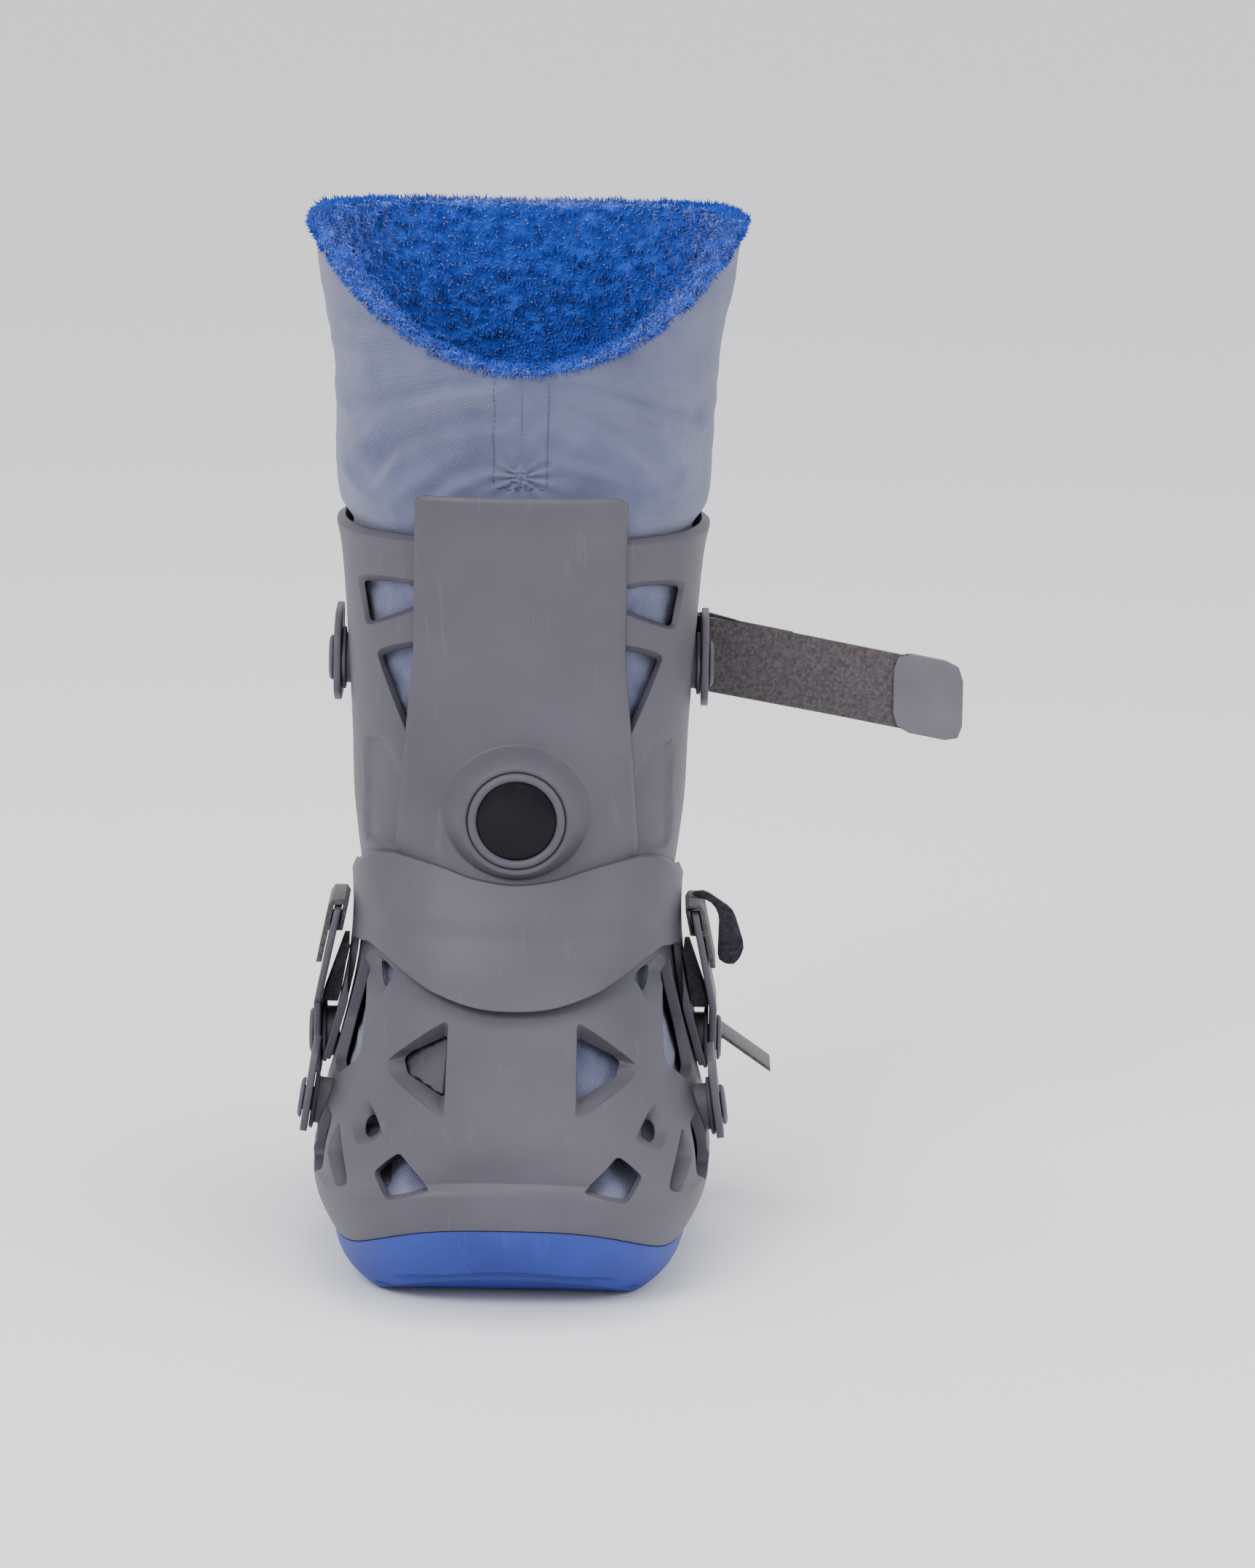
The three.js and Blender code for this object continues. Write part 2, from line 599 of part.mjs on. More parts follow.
const shieldTopCut = polygon([
  shieldTopView(-1),
  [-halfLeg * 0.88, SHIELD_TOP - 8],
  [-halfLeg * 0.74, SHIELD_TOP],
  [-halfLeg * 0.55, SHIELD_TOP - 1],
  [-halfLeg * 0.3, SHIELD_TOP - 5],
  [0, SHIELD_MIDDLE_TOP + 3],
  [halfLeg * 0.3, SHIELD_TOP - 5],
  [halfLeg * 0.55, SHIELD_TOP - 1],
  [halfLeg * 0.74, SHIELD_TOP],
  [halfLeg * 0.88, SHIELD_TOP - 8],
  shieldTopView(1),
  [halfLeg * 1.3, BOOT_HEIGHT],
  [-halfLeg * 1.3, BOOT_HEIGHT],
]);
const SHIELD_SMILE = [
  { across: 1.3, up: 0 },
  { across: 0.93, up: 0 },
  { across: 0.84, up: 0.16 },
  { across: 0.62, up: 0.125 },
  { across: 0.42, up: 0.06 },
  { across: 0.2, up: 0.015 },
  { across: 0, up: 0 },
];
const smileRise = (row) => (row.across > 0.9 ? -60 : row.up * INSTEP_HEIGHT);
const smile = SHIELD_SMILE.map((row) => [row.across * halfLeg, SHIELD_LOW + smileRise(row)]);
const shieldLowCut = polygon([
  ...smile,
  ...smile.slice(0, -1).reverse().map(([x, z]) => [-x, z]),
  [-halfLeg * 1.3, -20],
  [halfLeg * 1.3, -20],
]);
const cutFront = (shape) => toSolid(frontPrism(shape, TOE_REACH, -TOE_REACH - 20));
const shield = toSolid(ringGeometry(shieldRings, bodyPoint))
  .intersect(toSolid(sidePrism(shieldSideView, -FOOT_WIDTH, FOOT_WIDTH)))
  .subtract(cutFront(shieldTopCut))
  .subtract(cutFront(shieldLowCut));
addPiece('instep_shield', shield, 'shell');

// Shin plate: it widens to the foot, and its top lip leans outward
const plateHalf = PLATE_WIDTH / 2;
const plateFootHalf = PLATE_FOOT_WIDTH / 2;
const plateOutline = roundedShape(
  [
    [-plateFootHalf, PLATE_BOTTOM],
    [plateFootHalf, PLATE_BOTTOM],
    [plateFootHalf, BADGE_HEIGHT - 12],
    [plateHalf, CUFF_TOP * 0.83],
    [plateHalf, PLATE_TOP],
    [-plateHalf, PLATE_TOP],
    [-plateHalf, CUFF_TOP * 0.83],
    [-plateFootHalf, BADGE_HEIGHT - 12],
  ],
  5,
);
const PLATE_LIP = 1.6;
const plateHeights = [
  PLATE_BOTTOM - 2,
  ...LEG_RINGS.filter((height) => height > PLATE_BOTTOM + 4),
  CUFF_TOP + 10,
  PLATE_TOP + 2,
];
const lipLean = (height) => Math.max(0, (height - CUFF_TOP) / (PLATE_TOP - CUFF_TOP)) * PLATE_LIP;
const plateRings = [
  ...plateHeights.map((height) => ({ height, inset: -plateOut - lipLean(height) })),
  ...[...plateHeights].reverse().map((height) => ({ height, inset: -PLATE_GAP - lipLean(height) })),
];
const bossProfile = [
  [0, 0],
  [BOSS_RADIUS - 2, 0],
  [BOSS_RADIUS, 1],
  [BOSS_FOOT_RADIUS, BOSS_LENGTH * 0.8],
  [BOSS_FOOT_RADIUS, BOSS_LENGTH],
  [0, BOSS_LENGTH],
];
const turned = (profile, sides = 20) =>
  new THREE.LatheGeometry(profile.map(([radius, along]) => new THREE.Vector2(radius, along)), sides);
// Turned pieces of the badge, measured back from its face
const badgeTurned = (profile) => turned(profile).translate(0, -BADGE_FACE, BADGE_HEIGHT);
const boss = badgeTurned(bossProfile);
const badgeSocket = badgeTurned([
  [0, -1],
  [BEZEL_RADIUS + SEAT_GAP, -1],
  [BEZEL_RADIUS + SEAT_GAP, BEZEL_LENGTH - 1],
  [0, BEZEL_LENGTH - 1],
]);
const plateSheet = toSolid(ringGeometry(plateRings, bodyPoint)).intersect(toSolid(frontPrism(plateOutline, 0, -TOE_REACH)));
const plateBack = [
  { height: PLATE_BOTTOM - 2, share: 0 },
  ...plateHeights.map((height) => ({ height, inset: -PLATE_GAP - lipLean(height) })),
  { height: PLATE_TOP + 2, share: 0 },
];
const seatedBoss = toSolid(boss).subtract(toSolid(ringGeometry(plateBack, bodyPoint)));
addPiece('shin_plate', plateSheet.add(seatedBoss).subtract(toSolid(badgeSocket)), 'shell');

const bezelInner = BEZEL_RADIUS - BEZEL_WALL;
const bezelSeat = BEZEL_LENGTH - 1 - SEAT_GAP;
const bezel = badgeTurned([
  [bezelInner + 0.8, -1.2],
  [BEZEL_RADIUS - 0.8, -1.2],
  [BEZEL_RADIUS, -0.4],
  [BEZEL_RADIUS, bezelSeat],
  [bezelInner, bezelSeat],
  [bezelInner, -0.4],
  [bezelInner + 0.8, -1.2],
]);
addPiece('badge_bezel', toSolid(bezel), 'shell');
const discRadius = bezelInner - SEAT_GAP;
const discFace = bezelSeat - DISC_LENGTH;
const disc = badgeTurned([
  [0, discFace - 0.5],
  [discRadius * 0.6, discFace - 0.3],
  [discRadius, discFace],
  [discRadius, bezelSeat],
  [0, bezelSeat],
]);
addPiece('badge_disc', toSolid(disc), 'disc');

// Liner: a cloth cover over a fleece lining, both shaped like the boot and open at the top
const linerFloor = shellFloor + FOOT_WALL + 1.6 * LINER_GAP;
function linerRings(outer, wall, floor, rim) {
  const inner = outer + wall;
  const rises = [1, 3, 5, 6].map((row) => COLLAR_SECTIONS[row].rise);
  const walls = [...FOOT_RINGS, ...LEG_RINGS];
  const innerWalls = walls.filter((height, index) => (index < 4 || index % 2 === 1) && height > floor + wall + 2);
  return [
    { height: floor, share: 0 },
    { height: floor, inset: outer + 3, share: 0.8 },
    { height: floor, inset: outer + 3 },
    ...walls.filter((height) => height > floor + 2).map((height) => ({ height, inset: outer })),
    ...rises.slice(0, -1).map((rise) => ({ rise, inset: outer - FOOT_WALL })),
    ...rim,
    ...rises.slice(0, -1).reverse().map((rise) => ({ rise, inset: inner - FOOT_WALL })),
    ...[...innerWalls].reverse().map((height) => ({ height, inset: inner })),
    { height: floor + wall, inset: inner + 3 },
    { height: floor + wall, inset: inner + 3, share: 0.8 },
    { height: floor + wall, share: 0 },
  ];
}
// Room inside the foot shell, and the open leg above it, that the cover must stay within
const roomInset = FOOT_WALL + LINER_GAP * 0.95;
const roomFloor = shellFloor + FOOT_WALL + 1.5 * LINER_GAP;
const footRoom = [
  { height: roomFloor, share: 0 },
  { height: roomFloor, inset: roomInset, share: 0.5 },
  { height: roomFloor, inset: roomInset, share: 0.8 },
  { height: roomFloor, inset: roomInset },
  ...FOOT_RINGS.map((height) => ({ height, inset: roomInset })),
  { height: shellBandTop, inset: roomInset },
  { height: shellBandTop, share: 0 },
];
const block = (width, low, high) =>
  toSolid(new THREE.BoxGeometry(width, width, high - low).translate(0, 0, (low + high) / 2));
const openLeg = block(3 * FOOT_WIDTH, SEAM_FRONT_HEIGHT, 2 * BOOT_HEIGHT);
const linerRoom = toSolid(ringGeometry(footRoom, bodyPoint)).add(openLeg);
const coverOuter = FOOT_WALL + LINER_GAP;
const fleeceOuter = coverOuter + CLOTH_WALL + FLEECE_GAP;
const coverRim = [
  { rise: 1, inset: LINER_GAP },
  { rise: 1, inset: LINER_GAP + CLOTH_WALL },
];
const fleeceInset = fleeceOuter - FOOT_WALL;
const fleeceRim = [
  { rise: 1, inset: fleeceInset, lift: ROLL_GAP },
  { rise: 1, inset: LINER_GAP - 1, lift: ROLL_GAP },
  { rise: 1, inset: LINER_GAP, lift: FLEECE_ROLL * 0.75 },
  { rise: 1, inset: fleeceInset, lift: FLEECE_ROLL },
  { rise: 1, inset: fleeceInset + FLEECE_WALL, lift: 0 },
];
const coverRings = linerRings(coverOuter, CLOTH_WALL, linerFloor, coverRim);
const cover = toSolid(ringGeometry(coverRings, linerPoint)).intersect(linerRoom);
addPiece('liner_cover', cover, 'cloth');
const fleeceFloor = linerFloor + CLOTH_WALL + FLEECE_GAP;
const fleeceRings = linerRings(fleeceOuter, FLEECE_WALL, fleeceFloor, fleeceRim);
const fleece = toSolid(ringGeometry(fleeceRings, linerPoint, FLEECE_SIDES));
addPiece('liner_fleece', fleece, 'fleece');

// Valve cap on the fleece inside the collar's notch
const valveInset = fleeceInset + FLEECE_WALL + SEAT_GAP;
const valveSpot = collarPoint(0, { rise: 0.93, inset: valveInset });
const valve = turned([
  [0, 0],
  [VALVE_RADIUS, 0],
  [VALVE_RADIUS, VALVE_LENGTH * 0.7],
  [VALVE_RADIUS - 1, VALVE_LENGTH],
  [0, VALVE_LENGTH],
], 16).translate(0, valveSpot.y, valveSpot.z - VALVE_DROP - VALVE_RADIUS);
addPiece('valve_cap', toSolid(valve), 'black');

// Strap anchors turn on studs. Places: y and height of the stud; lean tips the stud up with the
// shell's slope; boss is the stud's length between shell and anchor, over the layers under it
const STATIONS = [
  { name: 'calf', y: 0, height: 0.7852 * CUFF_TOP, lean: 0, boss: 3, over: 0, disc: 12.5, cap: 9 },
  { name: 'ankle', ...ANKLE_STUD, lean: 0, boss: 3.4, over: shieldSide + SHIELD_WALL, disc: 12.5, cap: 9 },
  { name: 'foot', y: -0.3553 * TOE_REACH, height: 0.4818 * INSTEP_HEIGHT, lean: 8, boss: 4.6, over: 0, disc: 11.5, cap: 8 },
];
const STUD_ROOT = 5;
const STUD_SIDES = 12;
const fullRings = (inset) => {
  const heights = [shellFloor, BUMPER_TOP + 1, ...SHELL_ROWS.map(footHeight), ...LEG_RINGS];
  return [
    { height: heights[0], share: 0 },
    ...heights.map((height) => ({ height, inset })),
    { height: heights[heights.length - 1], share: 0 },
  ];
};
const bodyCore = (over) => toSolid(ringGeometry(fullRings(-over - SEAT_GAP), bodyPoint));

// Frame of a station: its first axis points out of the boot, its second along the foot
function stationMatrix(station, side, seat) {
  const lean = radians(station.lean);
  const out = new THREE.Vector3(side * Math.cos(lean), 0, Math.sin(lean));
  const up = new THREE.Vector3(-side * Math.sin(lean), 0, Math.cos(lean));
  const along = new THREE.Vector3().crossVectors(up, out);
  return new THREE.Matrix4().makeBasis(out, along, up).setPosition(side * seat, station.y, station.height);
}

function seatOf(station) {
  const section = sectionAt(BODY_SECTIONS, station.height);
  const reach = section.front - section.widest;
  const ahead = Math.abs(-station.y - section.widest) / reach;
  return section.halfWidth * (1 - ahead ** section.squareness) ** (1 / section.squareness) + station.over;
}

// Flat outline in a station's frame, thick along its first axis; side flips what points along the foot
function stationPlate(points, side, from, to, round, matrix) {
  const shape = roundedShape(points.map(([along, up]) => [side * along, up]), round);
  return toSolid(sidePrism(shape, from, to).applyMatrix4(matrix));
}

const ANCHOR_OUTLINES = {
  calf: { back: 31, front: -13, up: 18, low: -18, neck: 11, slotFrom: 21.5, slotTo: 26.5 },
  foot: { back: 18, front: -18, up: 22.5, low: -12, neck: 11, slotFrom: 13, slotTo: 18 },
};
const SLOT_MARGIN = 1;
const slotHalf = STRAP_WIDTH / 2 + SLOT_MARGIN;

function anchorPlate(station, side, matrix, from, to) {
  const outline = ANCHOR_OUTLINES[station.name];
  const sideways = station.name === 'calf';
  const body = sideways
    ? [
        [outline.front, -outline.neck],
        [outline.front, outline.neck],
        [2, outline.up],
        [outline.back, outline.up],
        [outline.back, outline.low],
        [2, outline.low],
      ]
    : [
        [-outline.neck, outline.low],
        [outline.neck, outline.low],
        [outline.back, 2],
        [outline.back, outline.up],
        [outline.front, outline.up],
        [outline.front, 2],
      ];
  const { slotFrom, slotTo } = outline;
  const slot = sideways
    ? [[slotFrom, -slotHalf], [slotTo, -slotHalf], [slotTo, slotHalf], [slotFrom, slotHalf]]
    : [[-slotHalf, slotFrom], [slotHalf, slotFrom], [slotHalf, slotTo], [-slotHalf, slotTo]];
  const hole = stationPlate(slot, side, from - 5, to + 5, 1.2, matrix);
  return stationPlate(body, side, from, to, 5, matrix).subtract(hole);
}

const placed = {};
for (const station of STATIONS) {
  for (const side of [-1, 1]) {
    const hand = side < 0 ? 'left' : 'right';
    const seat = seatOf(station);
    const matrix = stationMatrix(station, side, seat);
    const neck = station.disc * STUD_NECK_SHARE;
    const anchorFrom = station.boss + STUD_GAP;
    const anchorTo = anchorFrom + ANCHOR_WALL;
    const capFrom = anchorTo + STUD_GAP;
    const profile = [
      [0, -STUD_ROOT],
      [station.disc * 0.8, -STUD_ROOT],
      [station.disc * 0.8, station.boss - 1.8],
      [station.disc * 0.7, station.boss - 1.8],
      [station.disc * 0.7, station.boss - 1.4],
      [station.disc, station.boss - 1.4],
      [station.disc, station.boss],
      [neck, station.boss],
      [neck, capFrom],
      [station.cap, capFrom],
      [station.cap - 0.8, capFrom + CAP_LENGTH],
      [0, capFrom + CAP_LENGTH],
    ];
    const lie = new THREE.Matrix4().makeBasis(AXES.front, AXES.x, AXES.z);
    const blank = toSolid(turned(profile, STUD_SIDES).applyMatrix4(lie).applyMatrix4(matrix));
    addPiece(`${station.name}_stud_${hand}`, blank.subtract(bodyCore(station.over)), 'shell');
    const boreProfile = [
      [0, anchorFrom - 5],
      [neck + STUD_GAP, anchorFrom - 5],
      [neck + STUD_GAP, anchorTo + 9],
      [0, anchorTo + 9],
    ];
    const bore = toSolid(turned(boreProfile, STUD_SIDES).applyMatrix4(lie).applyMatrix4(matrix));
    placed[`${station.name}_${hand}`] = { matrix, side, seat, anchorFrom, anchorTo, bore };
    if (station.name !== 'ankle') {
      const plate = anchorPlate(station, side, matrix, anchorFrom, anchorTo).subtract(bore);
      addPiece(`${station.name}_anchor_${hand}`, plate, 'shell');
    }
  }
}

// Ankle anchors: arms that rise from the stud and lean in to the cuff, with a strap loop at the top
// and a pad of black hook tape behind
const ARM = {
  low: -16,
  bend: 15,
  top: 54,
  leanIn: 8,
  halfWidth: 18,
  slotLow: 43,
  slotHigh: 47.5,
  padLow: 15,
  padTop: 38,
};
const LOOP_GAP = 0.5;
const ankleCore = bodyCore(shieldSide + SHIELD_WALL + 0.2);
for (const side of [-1, 1]) {
  const hand = side < 0 ? 'left' : 'right';
  const { matrix, anchorFrom, anchorTo, bore, seat } = placed[`ankle_${hand}`];
  const stationY = ANKLE_STUD.y;
  const at = (out, up) => [side * (seat + out), ANKLE_STUD.height + up];
  const slab = (inner, outer, low, top, halfWidth) =>
    toSolid(
      frontPrism(
        polygon([
          at(inner, low),
          at(outer, low),
          at(outer, ARM.bend),
          at(outer - ARM.leanIn, top),
          at(inner - ARM.leanIn, top),
          at(inner, ARM.bend),
        ]),
        stationY + halfWidth,
        stationY - halfWidth,
      ),
    );
  const armView = [
    [-11, ARM.low],
    [11, ARM.low],
    [ARM.halfWidth, ARM.bend],
    [ARM.halfWidth, ARM.top],
    [-ARM.halfWidth, ARM.top],
    [-ARM.halfWidth, ARM.bend],
  ];
  const slot = [
    [-slotHalf, ARM.slotLow],
    [slotHalf, ARM.slotLow],
    [slotHalf, ARM.slotHigh],
    [-slotHalf, ARM.slotHigh],
  ];
  const arm = slab(anchorFrom, anchorTo, ARM.low - 1, ARM.top, ARM.halfWidth + 2)
    .intersect(stationPlate(armView, side, -30, 30, 5, matrix))
    .subtract(stationPlate(slot, side, -30, 30, 1, matrix))
    .subtract(bore);
  addPiece(`ankle_anchor_${hand}`, arm, 'shell');

  // Hook tape pad between the arm and the layers below it
  const padHalf = STRAP_WIDTH / 2 - 2;
  const padRoom = slab(-12, anchorFrom - SEAT_GAP, ARM.padLow, ARM.padTop, padHalf);
  addPiece(`ankle_hook_pad_${hand}`, padRoom.subtract(ankleCore), 'black');

  // Strap end looped through the arm's slot and round its top bar
  const loopHalf = STRAP_WIDTH / 2;
  const lean = ARM.leanIn / (ARM.top - ARM.bend);
  const onArm = (out, up) => [side * (seat + out - lean * (up - ARM.bend)), ANKLE_STUD.height + up];
  const clear = LOOP_GAP + STRAP_WALL;
  const slotMid = (ARM.slotLow + ARM.slotHigh) / 2;
  const outer = anchorTo;
  const inner = anchorFrom;
  const loop = [
    onArm(outer + LOOP_GAP, slotMid - 14),
    onArm(outer + clear, slotMid - 14),
    onArm(outer + clear, ARM.top + LOOP_GAP),
    onArm(outer + clear - 1.2, ARM.top + clear),
    onArm(inner - LOOP_GAP, ARM.top + clear),
    onArm(inner - clear + 0.4, ARM.top + LOOP_GAP),
    onArm(inner - clear + 0.4, slotMid - 1),
    onArm(inner - LOOP_GAP, slotMid - STRAP_WALL / 2),
    onArm(outer + LOOP_GAP, slotMid - STRAP_WALL / 2),
  ];
  const hole = [
    onArm(inner - LOOP_GAP, slotMid + STRAP_WALL / 2),
    onArm(outer + LOOP_GAP, slotMid + STRAP_WALL / 2),
    onArm(outer + LOOP_GAP, ARM.top + LOOP_GAP),
    onArm(inner - LOOP_GAP, ARM.top + LOOP_GAP),
  ];
  const loopSolid = toSolid(frontPrism(polygon(loop), stationY + loopHalf, stationY - loopHalf))
    .subtract(toSolid(frontPrism(polygon(hole), stationY + loopHalf + 1, stationY - loopHalf - 1)));
  addPiece(`ankle_strap_loop_${hand}`, loopSolid, 'strap');
}

// Right side of the ankle: the strap's stiff tab turned outward above the arm, and a thin strap end
// that stands out from the arm beside the stud
const ankle = placed.ankle_right;
const ankleOut = ankle.seat + ankle.anchorTo;
const FLAP = { wall: 2.6, width: 15, length: 30, tip: 5 };
const flapRoot = { x: ankleOut - ARM.leanIn - 1, z: ANKLE_STUD.height + ARM.top + 3.2 + STRAP_WALL };
const flapShape = roundedShape(
  [
    [flapRoot.x - 3, flapRoot.z - 1],
    [flapRoot.x + 3, flapRoot.z + 1],
    [flapRoot.x + FLAP.width, flapRoot.z - 7],
    [flapRoot.x + FLAP.width + FLAP.tip, flapRoot.z - FLAP.length * 0.75],
    [flapRoot.x + FLAP.width + 1, flapRoot.z - FLAP.length],
    [flapRoot.x + FLAP.width - 6, flapRoot.z - FLAP.length + 2],
    [flapRoot.x + 9.4, flapRoot.z - 9],
    [flapRoot.x + 6.4, flapRoot.z - 4],
  ],
  3,
);
const flapBack = ANKLE_STUD.y + FLAP.wall / 2;
addPiece('ankle_strap_tab', toSolid(frontPrism(flapShape, flapBack, flapBack - FLAP.wall)), 'black');

const STRAP_END = { wall: 1.4, length: 27, halfWidth: 12, slope: 0.7, root: 4 };
const endRoot = { x: ankleOut + SEAT_GAP, z: ANKLE_STUD.height - 2 };
const endBack = ANKLE_STUD.y + 14 + 2 * STRAP_END.halfWidth;
const endRun = STRAP_END.length * Math.cos(Math.atan(STRAP_END.slope));
const endShape = polygon([
  [endRoot.x, endRoot.z - STRAP_END.root / 2],
  [endRoot.x + 2, endRoot.z - STRAP_END.root / 2],
  [endRoot.x + 3, endRoot.z - 3 * STRAP_END.slope],
  [endRoot.x + endRun, endRoot.z - endRun * STRAP_END.slope],
  [endRoot.x + endRun, endRoot.z - endRun * STRAP_END.slope + STRAP_END.wall * 1.2],
  [endRoot.x + 3, endRoot.z + STRAP_END.wall * 1.2 - 3 * STRAP_END.slope],
  [endRoot.x, endRoot.z + STRAP_END.root / 2],
]);
addPiece('ankle_strap_end', toSolid(frontPrism(endShape, endBack, endBack - 2 * STRAP_END.halfWidth)), 'strap');

// Straps. The calf strap loops through the right anchor's slot and sticks out, ending in a stiff tab
const calf = STATIONS[0];
const calfPlace = placed.calf_right;
const slotMiddle = calf.y + (ANCHOR_OUTLINES.calf.slotFrom + ANCHOR_OUTLINES.calf.slotTo) / 2;
const barBack = calf.y + ANCHOR_OUTLINES.calf.back;
const calfOut = calfPlace.seat + calfPlace.anchorTo;
const calfIn = calfPlace.seat + calfPlace.anchorFrom;
const strapHang = (x) => -STRAP_SLOPE * Math.max(0, x - calfOut);
// Band in the top view along a path, upright over the strap's width, hanging with its slope
function calfBand(points, half, wall) {
  const left = [];
  const right = [];
  points.forEach(([x, y], index) => {
    const [ax, ay] = points[Math.max(0, index - 1)];
    const [bx, by] = points[Math.min(points.length - 1, index + 1)];
    const length = Math.hypot(bx - ax, by - ay);
    const nx = (-(by - ay) / length) * (wall / 2);
    const ny = ((bx - ax) / length) * (wall / 2);
    left.push([x + nx, y + ny]);
    right.push([x - nx, y - ny]);
  });
  const geometry = topPrism(polygon([...left, ...right.reverse()]), calf.height - half, calf.height + half);
  const position = geometry.attributes.position;
  for (let index = 0; index < position.count; index += 1) {
    position.setZ(index, position.getZ(index) + strapHang(position.getX(index)));
  }
  return toSolid(geometry);
}
const strapClear = STRAP_WALL / 2 + 0.6;
const strapY = slotMiddle;
const backY = barBack + strapClear;
const strapPath = [
  [STRAP_REACH, strapY],
  [calfOut + 8, strapY],
  [calfIn - 0.5, strapY],
  [calfIn - strapClear - 0.2, strapY + 1.6],
  [calfIn - strapClear - 0.2, backY - 1.6],
  [calfIn + 0.5, backY],
  [calfOut, backY],
  [calfOut + 9, strapY + STRAP_WALL + 3],
  [calfOut + 13, strapY + STRAP_WALL + SEAT_GAP],
  [calfOut + STRAP_RETURN, strapY + STRAP_WALL + SEAT_GAP],
];
addPiece('calf_strap', calfBand(strapPath, STRAP_WIDTH / 2, STRAP_WALL), 'strap');
const tabShape = roundedShape(
  [
    [TAB_REACH - TAB_LENGTH, -STRAP_WIDTH / 2 - 1],
    [TAB_REACH, -STRAP_WIDTH / 2 - 1],
    [TAB_REACH, STRAP_WIDTH / 2 + 1],
    [TAB_REACH - TAB_LENGTH, STRAP_WIDTH / 2 + 1],
  ],
  7,
);
const tab = frontPrism(tabShape, strapY + TAB_WALL / 2, strapY - TAB_WALL / 2);
const tabPosition = tab.attributes.position;
for (let index = 0; index < tabPosition.count; index += 1) {
  tabPosition.setZ(index, tabPosition.getZ(index) + calf.height + strapHang(tabPosition.getX(index)));
}
const pocketPath = [
  [STRAP_REACH + SEAT_GAP, strapY],
  [TAB_REACH - TAB_LENGTH - 10, strapY],
];
const tabPocket = calfBand(pocketPath, STRAP_WIDTH / 2 + SEAT_GAP, STRAP_WALL + 2 * SEAT_GAP);
addPiece('calf_strap_tab', toSolid(tab).subtract(tabPocket), 'shell');

export default boot;
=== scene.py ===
"""Looks of the walking boot: finer shells, a soft liner, straps, materials, light and camera."""

import math

import bpy
from mathutils import Matrix, Vector, noise


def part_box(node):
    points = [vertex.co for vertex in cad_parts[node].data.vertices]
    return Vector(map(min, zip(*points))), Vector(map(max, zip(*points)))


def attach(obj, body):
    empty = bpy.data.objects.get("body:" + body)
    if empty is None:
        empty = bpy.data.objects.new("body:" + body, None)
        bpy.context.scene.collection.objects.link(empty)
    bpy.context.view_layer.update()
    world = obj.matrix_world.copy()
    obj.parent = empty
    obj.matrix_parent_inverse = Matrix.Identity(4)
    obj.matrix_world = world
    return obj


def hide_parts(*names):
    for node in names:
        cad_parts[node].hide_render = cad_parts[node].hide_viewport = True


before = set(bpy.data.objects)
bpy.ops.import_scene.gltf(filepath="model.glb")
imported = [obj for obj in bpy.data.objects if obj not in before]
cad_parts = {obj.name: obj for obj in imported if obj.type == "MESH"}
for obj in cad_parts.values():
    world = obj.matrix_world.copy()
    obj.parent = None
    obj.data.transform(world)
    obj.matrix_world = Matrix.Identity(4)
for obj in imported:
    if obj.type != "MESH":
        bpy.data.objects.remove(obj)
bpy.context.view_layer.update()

# Main sizes in millimetres, the same as the part's
MM = 0.001
BOOT_HEIGHT = 397
CUFF_TOP = 277
INSTEP_HEIGHT = 110
FOOT_WIDTH = 154
TOE_REACH = 197
HEEL_REACH = 81
LEG_WIDTH = 147
LEG_FRONT = 70
LEG_BACK = 72
COLLAR_WIDTH = 172
COLLAR_FRONT = 66
COLLAR_BACK = 68
COLLAR_BACK_HEIGHT = 390
COLLAR_NOTCH_HEIGHT = 344
FOOT_WALL = 3.8
CUFF_WALL = 3.2
SOLE_HEIGHT = 17.7
SOLE_FLARE = 11
TOE_LIFT = 17
TOE_LIFT_START = 140
TREAD_FRONT = 150
TREAD_LIFT = 23
TREAD_HEEL = 62
HEEL_LIFT = 4
BUMPER_TOP = 37
BUMPER_STEP = 1.2
SEAM_FRONT_HEIGHT = 122
SEAM_BACK_HEIGHT = 101
PLATE_TOP = 295
PLATE_BOTTOM = 136
BADGE_HEIGHT = 168.6
BADGE_FACE = 81
SHIELD_WALL = 2.8
SIGHT_SLOPE = 0.2

# Shares: height of INSTEP_HEIGHT, width of FOOT_WIDTH, front and widest of TOE_REACH, back of HEEL_REACH
FOOT_SECTIONS = [
    (0.155, 0.883, 0.985, 0.975, 0.305, 3.2),
    (0.2, 0.929, 0.995, 0.988, 0.294, 3.2),
    (0.273, 0.983, 1, 0.994, 0.279, 3.1),
    (0.336, 0.997, 0.975, 0.994, 0.264, 3.0),
    (0.382, 0.997, 0.934, 0.988, 0.254, 2.9),
    (0.436, 0.987, 0.883, 0.975, 0.234, 2.8),
    (0.509, 0.958, 0.812, 0.951, 0.203, 2.7),
    (0.582, 0.927, 0.746, 0.926, 0.173, 2.6),
    (0.655, 0.899, 0.683, 0.901, 0.142, 2.6),
    (0.727, 0.872, 0.624, 0.877, 0.112, 2.6),
    (0.818, 0.843, 0.563, 0.84, 0.081, 2.6),
    (0.909, 0.82, 0.513, 0.815, 0.051, 2.6),
    (1, 0.808, 0.467, 0.796, 0.025, 2.6),
]
